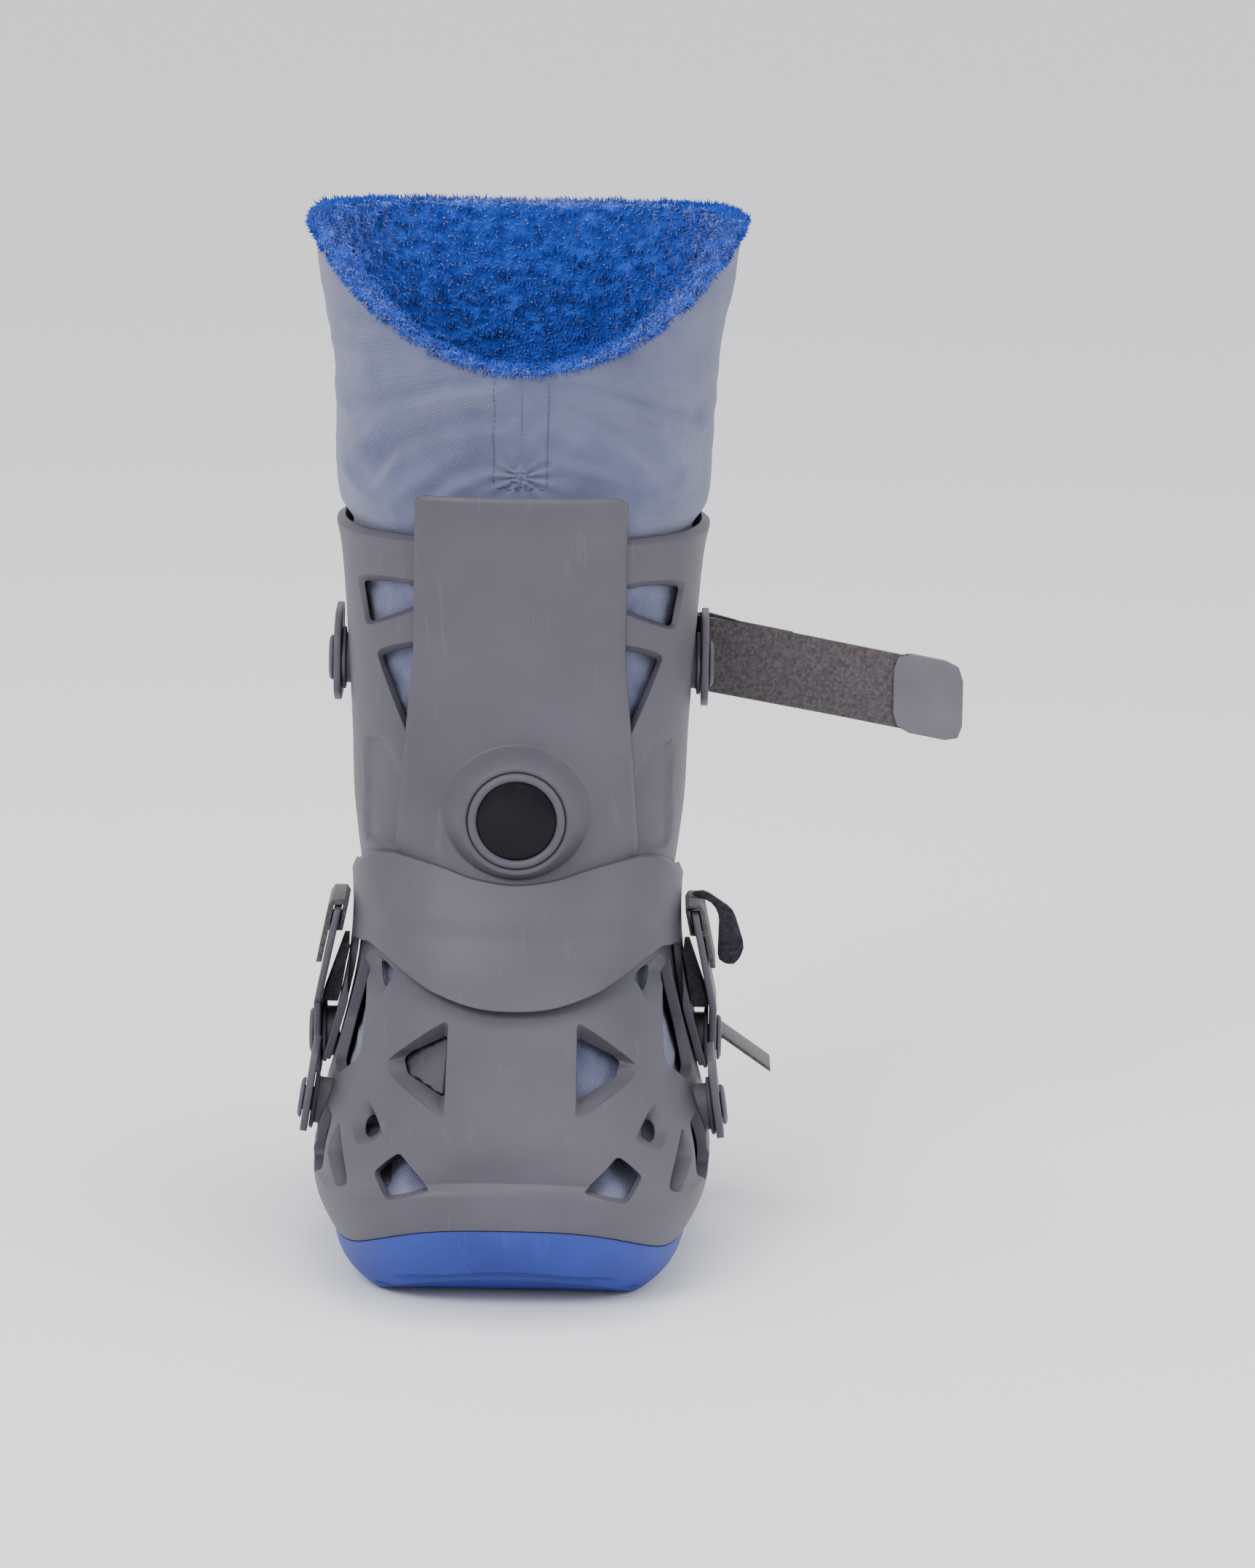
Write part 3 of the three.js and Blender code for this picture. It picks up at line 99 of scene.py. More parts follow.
# Shares: height of the way from INSTEP_HEIGHT to CUFF_TOP, width of LEG_WIDTH, front of LEG_FRONT,
# back of LEG_BACK
LEG_SECTIONS = [
    (0.06, 0.841, 1.214, 0.882, 2.6),
    (0.132, 0.842, 1.121, 0.875, 2.6),
    (0.24, 0.872, 1.021, 0.868, 2.6),
    (0.335, 0.896, 0.979, 0.875, 2.6),
    (0.479, 0.908, 0.957, 0.896, 2.6),
    (0.647, 0.929, 0.957, 0.931, 2.6),
    (0.868, 0.965, 0.971, 0.972, 2.5),
    (1, 1, 1, 1, 2.4),
    (1.15, 1.035, 1.04, 1.03, 2.4),
]
# Shares: rise from the cuff to the rim, width of COLLAR_WIDTH, front of COLLAR_FRONT, back of COLLAR_BACK
COLLAR_SECTIONS = [
    (0, 0.806, 1, 1, 2.4),
    (0.07, 0.862, 1.02, 1.03, 2.4),
    (0.25, 0.882, 0.985, 1.0, 2.35),
    (0.45, 0.888, 0.945, 0.97, 2.3),
    (0.66, 0.922, 0.93, 0.95, 2.25),
    (0.82, 0.965, 0.92, 0.935, 2.2),
    (1, 1, 0.91, 0.92, 2.2),
]
BODY = [
    (z * INSTEP_HEIGHT, w * FOOT_WIDTH / 2, f * TOE_REACH, b * HEEL_REACH, m * TOE_REACH, p)
    for z, w, f, b, m, p in FOOT_SECTIONS
] + [
    (INSTEP_HEIGHT + z * (CUFF_TOP - INSTEP_HEIGHT), w * LEG_WIDTH / 2, f * LEG_FRONT, b * LEG_BACK, 0, p)
    for z, w, f, b, p in LEG_SECTIONS
]
COLLAR = [
    (z, w * COLLAR_WIDTH / 2, f * COLLAR_FRONT, b * COLLAR_BACK, 0, p) for z, w, f, b, p in COLLAR_SECTIONS
]


def clamp(value, low=0.0, high=1.0):
    return min(max(value, low), high)


def lerp(a, b, share):
    return a + (b - a) * share


def ease(value):
    value = clamp(value)
    return value * value * (3 - 2 * value)


def bump(value, centre, span):
    """1 at the centre, falling off on both sides, to about a third at the span"""
    return math.exp(-(((value - centre) / span) ** 2))


def section_at(rows, height):
    """Section at a height, on a smooth curve through the rows"""
    height = clamp(height, rows[0][0], rows[-1][0])
    index = 0
    while index < len(rows) - 2 and rows[index + 1][0] < height:
        index += 1
    low, high = rows[index], rows[index + 1]
    before, after = rows[max(index - 1, 0)], rows[min(index + 2, len(rows) - 1)]
    span = high[0] - low[0]
    t = (height - low[0]) / span
    section = []
    for key in range(1, len(low)):
        left = (high[key] - before[key]) / (high[0] - before[0]) * span
        right = (after[key] - low[key]) / (after[0] - low[0]) * span
        value = (
            (2 * t**3 - 3 * t**2 + 1) * low[key]
            + (t**3 - 2 * t**2 + t) * left
            + (3 * t**2 - 2 * t**3) * high[key]
            + (t**3 - t**2) * right
        )
        section.append(value)
    return section


def section_point(section, angle, inset, share=1.0):
    half, front, back, widest, power = section
    side, ahead = math.sin(angle), math.cos(angle)
    reach = (front - widest if ahead >= 0 else back + widest) - inset
    size = (abs(side) ** power + abs(ahead) ** power) ** (-1 / power)
    return (half - inset) * side * size * share, -widest - reach * ahead * size * share


def toe_lift(y):
    return TOE_LIFT * (max(0.0, -TOE_LIFT_START - y) / (TOE_REACH - TOE_LIFT_START)) ** 2


def tread_height(y):
    toe = max(0.0, -TREAD_FRONT - y) / (TOE_REACH - TREAD_FRONT)
    heel = max(0.0, y - TREAD_HEEL) / (HEEL_REACH - TREAD_HEEL)
    return TREAD_LIFT * toe**1.6 + HEEL_LIFT * heel**2


def body_point(angle, height, inset=0.0, side_inset=None, share=1.0):
    """Point on the boot's body at a height, moved in from its outer face"""
    side = inset if side_inset is None else side_inset
    depth = lerp(inset, side, math.sin(angle) ** 8)
    x, y = section_point(section_at(BODY, height + depth / 2), angle, depth, share)
    fade = clamp((INSTEP_HEIGHT - 35 - height) / (INSTEP_HEIGHT - 35 - BUMPER_TOP))
    return x, y, height + toe_lift(y) * fade


def seam_height(y):
    """Seam between foot shell and cuff, seen from the side"""
    share = clamp((y + LEG_FRONT * 0.62) / (LEG_FRONT * 0.62 + LEG_BACK * 0.05))
    return lerp(SEAM_FRONT_HEIGHT, SEAM_BACK_HEIGHT, share)


def sole_point(angle, rise, share=1.0):
    inset = SOLE_FLARE * (1 - rise) ** 2.4 - BUMPER_STEP / 2
    x, y = section_point(section_at(BODY, SOLE_HEIGHT), angle, inset, share)
    return x, y, lerp(tread_height(y), SOLE_HEIGHT + toe_lift(y), rise)


def rim_height(angle):
    if math.cos(angle) >= 0:
        drop = BOOT_HEIGHT - COLLAR_NOTCH_HEIGHT
        return BOOT_HEIGHT - drop * (1 - abs(math.sin(angle)) ** 2.1)
    return lerp(BOOT_HEIGHT, COLLAR_BACK_HEIGHT, math.cos(angle) ** 2)


def alone(piece):
    bpy.ops.object.select_all(action="DESELECT")
    piece.select_set(True)
    bpy.context.view_layer.objects.active = piece


def edit(piece, work):
    """Runs mesh operators on all of a piece"""
    alone(piece)
    bpy.ops.object.mode_set(mode="EDIT")
    bpy.ops.mesh.select_all(action="SELECT")
    work()
    bpy.ops.object.mode_set(mode="OBJECT")


def weld(distance=0.00001):
    bpy.ops.mesh.remove_doubles(threshold=distance)
    bpy.ops.mesh.dissolve_degenerate(threshold=0.000001)
    bpy.ops.mesh.normals_make_consistent(inside=False)


def close_ends():
    bpy.ops.mesh.fill_holes(sides=0)
    bpy.ops.mesh.select_all(action="SELECT")
    bpy.ops.mesh.normals_make_consistent(inside=False)


def surface(name, across, along, place):
    """Grid of quads whose points lie where place(u, v) puts them, in millimetres"""
    bpy.ops.object.select_all(action="DESELECT")
    bpy.ops.mesh.primitive_grid_add(x_subdivisions=across, y_subdivisions=along, size=2)
    piece = bpy.context.object
    piece.name = name
    piece.data.name = name
    for vertex in piece.data.vertices:
        u, v = (vertex.co.x + 1) / 2, (vertex.co.y + 1) / 2
        vertex.co = Vector(place(u, v)) * MM
    edit(piece, weld)
    return piece


def apply(piece, kind, **settings):
    modifier = piece.modifiers.new("shape", kind)
    for key, value in settings.items():
        setattr(modifier, key, value)
    alone(piece)
    bpy.ops.object.modifier_apply(modifier=modifier.name)


def cut(piece, cutter, operation="DIFFERENCE"):
    apply(piece, "BOOLEAN", object=cutter, operation=operation, solver="EXACT")
    bpy.data.objects.remove(cutter)


def smooth(piece, degrees=32):
    alone(piece)
    bpy.ops.object.shade_smooth_by_angle(angle=math.radians(degrees))


def rounded(points, radius, steps=5):
    """Closed outline of any dimension with rounded corners"""
    corners = [Vector(point) for point in points]
    outline = []
    for index, corner in enumerate(corners):
        before, after = corners[index - 1], corners[(index + 1) % len(corners)]
        cut_length = min(radius, (corner - before).length / 2.2, (corner - after).length / 2.2)
        start = corner + (before - corner).normalized() * cut_length
        end = corner + (after - corner).normalized() * cut_length
        for step in range(steps + 1):
            t = step / steps
            outline.append(start * (1 - t) ** 2 + corner * 2 * t * (1 - t) + end * t**2)
    return outline


def plug(name, rings):
    """Solid through rings of points of one count, closed at both ends"""
    count = len(rings[0])
    piece = surface(
        name,
        count,
        len(rings) - 1,
        lambda u, v: rings[round(v * (len(rings) - 1))][round(u * count) % count],
    )
    edit(piece, close_ends)
    return piece


def front_plug(outline, near, far):
    return plug("cutter", [[(x, near, z) for x, z in outline], [(x, far, z) for x, z in outline]])


def side_plug(outline, near, far):
    return plug("cutter", [[(near, y, z) for y, z in outline], [(far, y, z) for y, z in outline]])


def front_y(x, z):
    """y of the body's front face at a place in the front view"""
    height = z
    for _ in range(6):
        half, front, _, widest, power = section_at(BODY, height)
        share = min(0.999, abs(x) / half)
        y = -widest - (front - widest) * (1 - share**power) ** (1 / power)
        fade = clamp((INSTEP_HEIGHT - 35 - height) / (INSTEP_HEIGHT - 35 - BUMPER_TOP))
        height = z - toe_lift(y) * fade
    return y


def on_front(x, z, middle):
    """Where the photo's line of sight through (x, middle, z) meets the front face"""
    y = middle
    for _ in range(8):
        y = front_y(x, z - SIGHT_SLOPE * (y - middle))
    return Vector((x, y, z - SIGHT_SLOPE * (y - middle)))


def funnel(outer, inner, side, radius, middle, depth):
    """Cutter of a window whose walls slope from an outer outline to a smaller inner one"""
    sight = Vector((0, 1, -SIGHT_SLOPE))
    outer = [on_front(side * x, z, middle) for x, z in rounded(outer, radius)]
    inner = [on_front(side * x, z, middle) for x, z in rounded(inner, radius * 0.6)]
    return plug(
        "cutter",
        [
            [p - sight * 60 for p in outer],
            [p - sight * 0.3 for p in outer],
            [p + sight * depth for p in inner],
            [p + sight * (depth + 14) for p in inner],
        ],
    )


def paint(piece, material, body="boot"):
    piece.data.materials.clear()
    piece.data.materials.append(material)
    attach(piece, body)
    return piece


# Node groups and materials
def group(name, inputs, outputs):
    tree = bpy.data.node_groups.new(name, "ShaderNodeTree")
    for label, kind, value in inputs:
        socket = tree.interface.new_socket(name=label, in_out="INPUT", socket_type=kind)
        if value is not None:
            socket.default_value = value
    for label, kind in outputs:
        tree.interface.new_socket(name=label, in_out="OUTPUT", socket_type=kind)
    return tree, tree.nodes.new("NodeGroupInput"), tree.nodes.new("NodeGroupOutput")


def node(tree, kind, **settings):
    made = tree.nodes.new(kind)
    for key, value in settings.items():
        if key in made.inputs:
            made.inputs[key].default_value = value
        else:
            setattr(made, key, value)
    return made


def math_node(tree, operation, first, second=None):
    made = tree.nodes.new("ShaderNodeMath")
    made.operation = operation
    for index, value in enumerate((first, second)):
        if value is None:
            continue
        if isinstance(value, (int, float)):
            made.inputs[index].default_value = value
        else:
            tree.links.new(value, made.inputs[index])
    return made.outputs[0]


def grain_group():
    """Fine grain and broad, faint marks of use, in object coordinates"""
    tree, start, end = group(
        "grain and use",
        [
            ("Scale", "NodeSocketFloat", 1500.0), ("Broad", "NodeSocketFloat", 22.0),
            ("Scuffs", "NodeSocketFloat", 0.5),
        ],
        [("Height", "NodeSocketFloat"), ("Tint", "NodeSocketFloat")],
    )
    place = node(tree, "ShaderNodeTexCoord")
    fine = node(tree, "ShaderNodeTexNoise", Detail=3.0, Roughness=0.6)
    broad = node(tree, "ShaderNodeTexNoise", Detail=5.0, Roughness=0.55)
    stretch = node(tree, "ShaderNodeMapping")
    stretch.inputs["Scale"].default_value = (260, 90, 30)
    stretch.inputs["Rotation"].default_value = (0.4, 0.9, 0.3)
    scratch = node(tree, "ShaderNodeTexNoise", Scale=1.0, Detail=2.0, Distortion=0.6)
    for texture in (fine, broad):
        tree.links.new(place.outputs["Object"], texture.inputs["Vector"])
    tree.links.new(place.outputs["Object"], stretch.inputs["Vector"])
    tree.links.new(stretch.outputs[0], scratch.inputs["Vector"])
    tree.links.new(start.outputs["Scale"], fine.inputs["Scale"])
    tree.links.new(start.outputs["Broad"], broad.inputs["Scale"])
    lines = node(tree, "ShaderNodeMapRange")
    for label, value in (("From Min", 0.66), ("From Max", 0.74), ("To Min", 0.0), ("To Max", 1.0)):
        lines.inputs[label].default_value = value
    tree.links.new(scratch.outputs[0], lines.inputs["Value"])
    scuffs = math_node(tree, "MULTIPLY", lines.outputs[0], start.outputs["Scuffs"])
    tree.links.new(fine.outputs[0], end.inputs["Height"])
    tint = math_node(tree, "ADD", broad.outputs[0], scuffs)
    tree.links.new(tint, end.inputs["Tint"])
    return tree


def weave_group():
    """Twill weave in the UV map's own lengths"""
    tree, start, end = group(
        "twill weave",
        [("Threads", "NodeSocketFloat", 1.0), ("Lean", "NodeSocketFloat", 0.6)],
        [("Height", "NodeSocketFloat"), ("Tint", "NodeSocketFloat")],
    )
    place = node(tree, "ShaderNodeTexCoord")
    turned = node(tree, "ShaderNodeMapping")
    tree.links.new(place.outputs["UV"], turned.inputs["Vector"])
    turn = node(tree, "ShaderNodeCombineXYZ")
    tree.links.new(start.outputs["Lean"], turn.inputs["Z"])
    tree.links.new(turn.outputs[0], turned.inputs["Rotation"])
    ribs = node(tree, "ShaderNodeTexWave", wave_type="BANDS", bands_direction="X", Distortion=1.2, Detail=2.0)
    cross = node(tree, "ShaderNodeTexWave", wave_type="BANDS", bands_direction="Y", Distortion=0.8, Detail=1.0)
    for wave in (ribs, cross):
        tree.links.new(turned.outputs[0], wave.inputs["Vector"])
        tree.links.new(start.outputs["Threads"], wave.inputs["Scale"])
    weft = math_node(tree, "MULTIPLY", cross.outputs["Fac"], 0.45)
    both = math_node(tree, "ADD", ribs.outputs["Fac"], weft)
    height = math_node(tree, "MULTIPLY", both, 0.69)
    tree.links.new(height, end.inputs["Height"])
    patch = node(tree, "ShaderNodeTexNoise", Scale=60.0, Detail=4.0)
    tree.links.new(place.outputs["Object"], patch.inputs["Vector"])
    tint = math_node(
        tree,
        "ADD",
        math_node(tree, "MULTIPLY", height, 0.5),
        math_node(tree, "MULTIPLY", patch.outputs[0], 0.5),
    )
    tree.links.new(tint, end.inputs["Tint"])
    return tree


GRAIN = grain_group()
WEAVE = weave_group()


def material(
    name, dark, light, effect, values, roughness, depth, strength=0.6, edge=0.0, spread=(0.3, 0.7), **constants
):
    """Principled material whose colour, roughness and bump follow a node group's tint and height"""
    made = bpy.data.materials.new(name)
    made.use_nodes = True
    made.diffuse_color = (*light, 1)
    tree = made.node_tree
    shader = tree.nodes["Principled BSDF"]
    used = tree.nodes.new("ShaderNodeGroup")
    used.node_tree = effect
    for label, value in values.items():
        used.inputs[label].default_value = value
    ramp = node(tree, "ShaderNodeValToRGB")
    ramp.color_ramp.elements[0].position, ramp.color_ramp.elements[1].position = spread
    ramp.color_ramp.elements[0].color = (*dark, 1)
    ramp.color_ramp.elements[1].color = (*light, 1)
    tree.links.new(used.outputs["Tint"], ramp.inputs[0])
    tree.links.new(ramp.outputs[0], shader.inputs["Base Color"])
    rough = node(tree, "ShaderNodeMapRange")
    rough.inputs["To Min"].default_value = roughness[0]
    rough.inputs["To Max"].default_value = roughness[1]
    tree.links.new(used.outputs["Tint"], rough.inputs["Value"])
    tree.links.new(rough.outputs[0], shader.inputs["Roughness"])
    relief = node(tree, "ShaderNodeBump", Strength=strength, Distance=depth)
    tree.links.new(used.outputs["Height"], relief.inputs["Height"])
    if edge:
        soft = node(tree, "ShaderNodeBevel", samples=6, Radius=edge)
        tree.links.new(soft.outputs[0], relief.inputs["Normal"])
    tree.links.new(relief.outputs[0], shader.inputs["Normal"])
    for label, value in constants.items():
        shader.inputs[label.replace("_", " ")].default_value = value
    return made


SHELL = material(
    "moulded shell plastic", (0.057, 0.0535, 0.069), (0.082, 0.0765, 0.097), GRAIN,
    {"Scale": 2200.0, "Broad": 16.0, "Scuffs": 0.35},
    (0.42, 0.62), 0.00006, 0.5, edge=0.0009, Specular_IOR_Level=0.42,
)
SOLE = material(
    "blue sole rubber", (0.012, 0.026, 0.21), (0.02, 0.044, 0.3), GRAIN,
    {"Scale": 1600.0, "Broad": 30.0, "Scuffs": 0.6},
    (0.45, 0.68), 0.00012, 0.6, edge=0.0012, Specular_IOR_Level=0.4,
)
CLOTH = material(
    "twill cover cloth", (0.068, 0.076, 0.15), (0.16, 0.175, 0.295), WEAVE, {"Threads": 330.0, "Lean": 0.7},
    (0.75, 0.95), 0.0003, 0.9, Sheen_Weight=0.35, Sheen_Roughness=0.5, Specular_IOR_Level=0.25,
)
FLEECE = material(
    "fleece pile", (0.006, 0.026, 0.22), (0.028, 0.105, 0.62), GRAIN,
    {"Scale": 420.0, "Broad": 210.0, "Scuffs": 0.0},
    (0.9, 1.0), 0.0016, 1.0, Sheen_Weight=0.6, Sheen_Roughness=0.4, Specular_IOR_Level=0.1,
)
STRAP = material(
    "loop strap webbing", (0.04, 0.034, 0.037), (0.105, 0.09, 0.098), GRAIN,
    {"Scale": 620.0, "Broad": 760.0, "Scuffs": 0.1},
    (0.85, 1.0), 0.0009, 1.0, edge=0.0006, Sheen_Weight=0.3, Specular_IOR_Level=0.15,
)
HOOK = material(
    "black hook tape", (0.006, 0.006, 0.009), (0.035, 0.033, 0.045), GRAIN,
    {"Scale": 900.0, "Broad": 500.0, "Scuffs": 0.1},
    (0.75, 0.95), 0.0007, 1.0, Sheen_Weight=0.15, Specular_IOR_Level=0.2,
)
TAB = material(
    "tab plastic", (0.085, 0.081, 0.096), (0.115, 0.108, 0.128), GRAIN,
    {"Scale": 1800.0, "Broad": 40.0, "Scuffs": 0.5},
    (0.38, 0.55), 0.00008, 0.5, edge=0.0008, Specular_IOR_Level=0.45,
)
GLOSS = material(
    "gloss disc", (0.003, 0.003, 0.005), (0.009, 0.008, 0.012), GRAIN,
    {"Scale": 500.0, "Broad": 25.0, "Scuffs": 0.3},
    (0.12, 0.22), 0.00001, 0.2, edge=0.0006, Specular_IOR_Level=0.12,
)
BLACK = material(
    "black plastic", (0.008, 0.008, 0.011), (0.02, 0.02, 0.026), GRAIN,
    {"Scale": 1900.0, "Broad": 30.0, "Scuffs": 0.3},
    (0.3, 0.5), 0.00006, 0.5, edge=0.0008,
)
THREAD = material(
    "seam thread", (0.03, 0.035, 0.09), (0.08, 0.09, 0.18), GRAIN,
    {"Scale": 3000.0, "Broad": 900.0, "Scuffs": 0.0},
    (0.6, 0.8), 0.0002, 0.8, Sheen_Weight=0.2,
)

# Foot shell: outer wall up and inner wall down, both ending at the floor height below
SHELL_FLOOR = SOLE_HEIGHT + 0.3


def toe_depth(angle, height):
    """How much thicker the toe cover is round its windows"""
    _, y, z = body_point(angle, height)
    return 3.4 * ease((-84 - y) / 14) * ease((107 - z) / 10) * ease((z - 30) / 8)


def shell_wall(u, v, low, high, wall, step=True):
    """Point of an upright wall: the first half of v climbs its outer face, the rest its inner face"""
    angle = 2 * math.pi * u
    if v < 0.5:
        height = lerp(low, high(angle), v / 0.5)
        inset = 0.0
        if step:
            inset = -BUMPER_STEP * (1 - ease((height - BUMPER_TOP) / 1.6))
            if height < low + 0.01:
                x, y, z = sole_point(angle, 1)
                return x, y, z + 0.3
        return body_point(angle, height, inset)
    height = lerp(high(angle), low, (v - 0.5) / 0.5)
    return body_point(angle, height, wall + toe_depth(angle, height))


def shell_top(angle):
    _, y, _ = body_point(angle, 110)
    return seam_height(y) - 0.3


foot_shell = surface(
    "foot_shell_fine", 176, 132, lambda u, v: shell_wall(u, v, SHELL_FLOOR, shell_top, FOOT_WALL)
)
# Windows of the toe cover in the front view: depth plane, depth, corner radius, outer and inner outlines
TOE_WINDOWS = [
    (
        -118, 7.4, 2.2,
        [(49.6, 79.6), (44.6, 84.1), (26.1, 96.8), (25.0, 95.3), (25.4, 60.3), (26.9, 59.8), (47.7, 75.2)],
        [(41.8, 81.4), (39.0, 84.0), (25.7, 90.4), (25.2, 89.5), (25.5, 67.6), (26.7, 67.4), (40.2, 75.5)],
    ),
    (
        -122, 7.4, 2.2,
        [
            (56.3, 67.4), (52.8, 62.8), (50.0, 56.9), (47.5, 51.6),
            (55.4, 48.3), (59.9, 49.9), (61.6, 56.5), (59.8, 62.7),
        ],
        [
            (54.4, 59.4), (52.4, 60.6), (50.2, 56.2), (50.7, 53.4),
            (53.8, 51.5), (55.4, 52.8), (55.8, 55.5), (55.4, 57.8),
        ],
    ),
    (
        -165, 7.4, 2.2,
        [(41.7, 55.8), (37.2, 50.6), (28.8, 43.1), (36.2, 40.6), (45.2, 38.5), (51.7, 48.0), (46.4, 52.7)],
        [(41.7, 54.7), (37.6, 50.2), (30.1, 43.3), (36.6, 41.2), (44.9, 39.3), (49.4, 47.4), (45.7, 51.4)],
    ),
    (
        -70, 5.0, 2.0,
        [
            (57.4, 114.2), (51.7, 110.9), (46.4, 105.4), (50.0, 98.7),
            (52.6, 94.1), (55.6, 94.1), (58.6, 101.6), (60.9, 107.2),
        ],
        [
            (52.4, 109.8), (49.3, 108.5), (46.7, 105.2), (48.8, 101.8),
            (50.1, 99.3), (51.0, 101.1), (51.6, 104.0), (52.1, 107.4),
        ],
    ),
]
for side in (-1, 1):
    for middle, depth, radius, outer, inner in TOE_WINDOWS:
        cut(foot_shell, funnel(outer, inner, side, radius, middle, depth))
# Openings in the sides, outlines in the side view
ANKLE_SIDE = [(-55, 102), (-39, 108), (-39, 79), (-53, 66), (-77, 65), (-91, 75)]
ARCH_SIDE = [(-83, 55), (-102, 55), (-126, 39.6), (-110, 33), (-79, 33)]
SLOT_SIDE = [(-112, 55.5), (-126, 51.5), (-158, 41), (-150, 38.5), (-120, 46)]
for side in (-1, 1):
    for outline in (ANKLE_SIDE, ARCH_SIDE, SLOT_SIDE):
        cut(foot_shell, side_plug([tuple(p) for p in rounded(outline, 4)], side * 38, side * 110))
smooth(foot_shell)
paint(foot_shell, SHELL)
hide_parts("foot_shell")

# Leg cuff with windows beside the shin plate, crossed by a strut, and a sunk side panel
PANEL = rounded([(59.9, 194), (52.9, 194), (44, 178.5), (45.2, 152.4), (60.3, 152.4)], 3)


def inside(outline, x, z):
    """Distance-like measure from an outline's edge, positive inside"""
    best = 1e9
    within = False
    for index, point in enumerate(outline):
        before = outline[index - 1]
        edge = Vector((point[0] - before[0], point[1] - before[1]))
        away = Vector((x - before[0], z - before[1]))
        t = clamp(away.dot(edge) / max(edge.length_squared, 1e-9))
        best = min(best, (away - edge * t).length)
        if (point[1] > z) != (before[1] > z) and x < (before[0] - point[0]) * (z - point[1]) / (before[1] - point[1]) + point[0]:
            within = not within
    return best if within else -best


def cuff_bottom(angle):
    _, y, _ = body_point(angle, 110)
    return seam_height(y) + 0.3


def cuff_point(u, v):
    angle = 2 * math.pi * u
    if v < 0.5:
        height = lerp(cuff_bottom(angle), CUFF_TOP, v / 0.5)
        lip = 0.7 * bump(height, CUFF_TOP - 3, 4) * (1 if math.cos(angle) > -0.2 else 0.6)
        x, y, _ = body_point(angle, height)
        sunk = 1.6 * ease(inside(PANEL, abs(x), height) / 1.1 + 0.5) if y < 0 and 40 < abs(x) < 64 and 148 < height < 198 else 0
        return body_point(angle, height, sunk - lip)
    height = lerp(CUFF_TOP, cuff_bottom(angle), (v - 0.5) / 0.5)
    return body_point(angle, height, CUFF_WALL)


cuff = surface("cuff_shell_fine", 176, 150, cuff_point)
CUFF_WINDOWS = [
    (
        [(64.7, 261), (60.8, 239.5), (41, 245.5), (37, 246), (37, 258), (41, 258)],
        [(61.7, 258.3), (58.8, 241.5), (41, 248), (37, 248.5), (37, 255.6), (41, 255.6)],
    ),
    (
        [(56.9, 230.6), (41, 234), (37, 234.5), (37, 191), (42.7, 194.5), (50.6, 213)],
        [(54.2, 228.4), (41, 231.5), (37, 232), (37, 194), (41.6, 198.5), (48.2, 214)],
    ),
]
for side in (-1, 1):
    for outer, inner in CUFF_WINDOWS:
        cut(cuff, funnel(outer, inner, side, 3.5, -52, 4.5))
smooth(cuff)
paint(cuff, SHELL)
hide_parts("cuff_shell")

# Instep shield: a saddle from the toe cover up onto the shin plate's foot, with a leg down each side
PLATE_OUT = 3.6
OVER = [(48, 1), (72, 1), (90, 1), (110, 1.2), (120, 2.4), (132, PLATE_OUT + 0.7), (166, PLATE_OUT + 0.7)]


def over_at(height):
    for (low, a), (high, b) in zip(OVER, OVER[1:]):
        if height <= high:
            return lerp(a, b, ease((height - low) / (high - low)))
    return OVER[-1][1]


def shield_point(u, v):
    angle = 2 * math.pi * u
    outer = v < 0.5
    height = lerp(50, 164, v / 0.5) if outer else lerp(164, 50, (v - 0.5) / 0.5)
    gap = over_at(height)
    if outer:
        return body_point(angle, height, -gap - SHIELD_WALL, -0.8 - SHIELD_WALL)
    return body_point(angle, height, -gap, -0.8)


shield = surface("instep_shield_fine", 200, 120, shield_point)
SHIELD_SIDE = [
    (-210, 92), (-80, 96), (-39, 101), (-35, 59.6), (-5, 59.6),
    (-9, 107), (-24.5, 151), (-40, 160), (-210, 160),
]
keep_side = side_plug([tuple(p) for p in rounded(SHIELD_SIDE, 9)], -120, 120)
cut(shield, keep_side, "INTERSECT")
TOP_EDGE = [(68, 128), (64.5, 140), (58, 149), (50, 152), (40, 151), (28, 148.5), (16, 145), (0, 143)]
LOW_EDGE = [
    (66, 40), (66, 103), (60, 114.5), (53, 114), (46, 110.5),
    (38, 106.5), (30, 103.3), (15, 99.6), (0, 98.6),
]


def mirrored(half):
    return half + [(-x, z) for x, z in reversed(half[:-1])]


def fine(points, steps=6):
    """Smooth curve through points"""
    made = []
    for index in range(len(points) - 1):
        p0, p1 = Vector(points[max(index - 1, 0)]), Vector(points[index])
        p2, p3 = Vector(points[index + 1]), Vector(points[min(index + 2, len(points) - 1)])
        for step in range(steps):
            t = step / steps
            made.append(
                tuple(
                    0.5
                    * (
                        2 * p1
                        + (p2 - p0) * t
                        + (2 * p0 - 5 * p1 + 4 * p2 - p3) * t**2
                        + (3 * p1 - p0 - 3 * p2 + p3) * t**3
                    )
                )
            )
    return made + [tuple(points[-1])]


cut(shield, front_plug([(100, 128), *fine(mirrored(TOP_EDGE)), (-100, 128), (-100, 200), (100, 200)], -230, 60))
cut(shield, front_plug([*fine(mirrored(LOW_EDGE)), (-66, 20), (66, 20)], -230, -30))
smooth(shield)
paint(shield, SHELL)
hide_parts("instep_shield")

# Shin plate with an outward lip, its face rounded down at the sides, and a round boss
PLATE_EDGE = [(0, 136), (47.5, 136), (47.5, 157), (45, 190), (41.5, 230), (41.5, 295), (0, 295)]


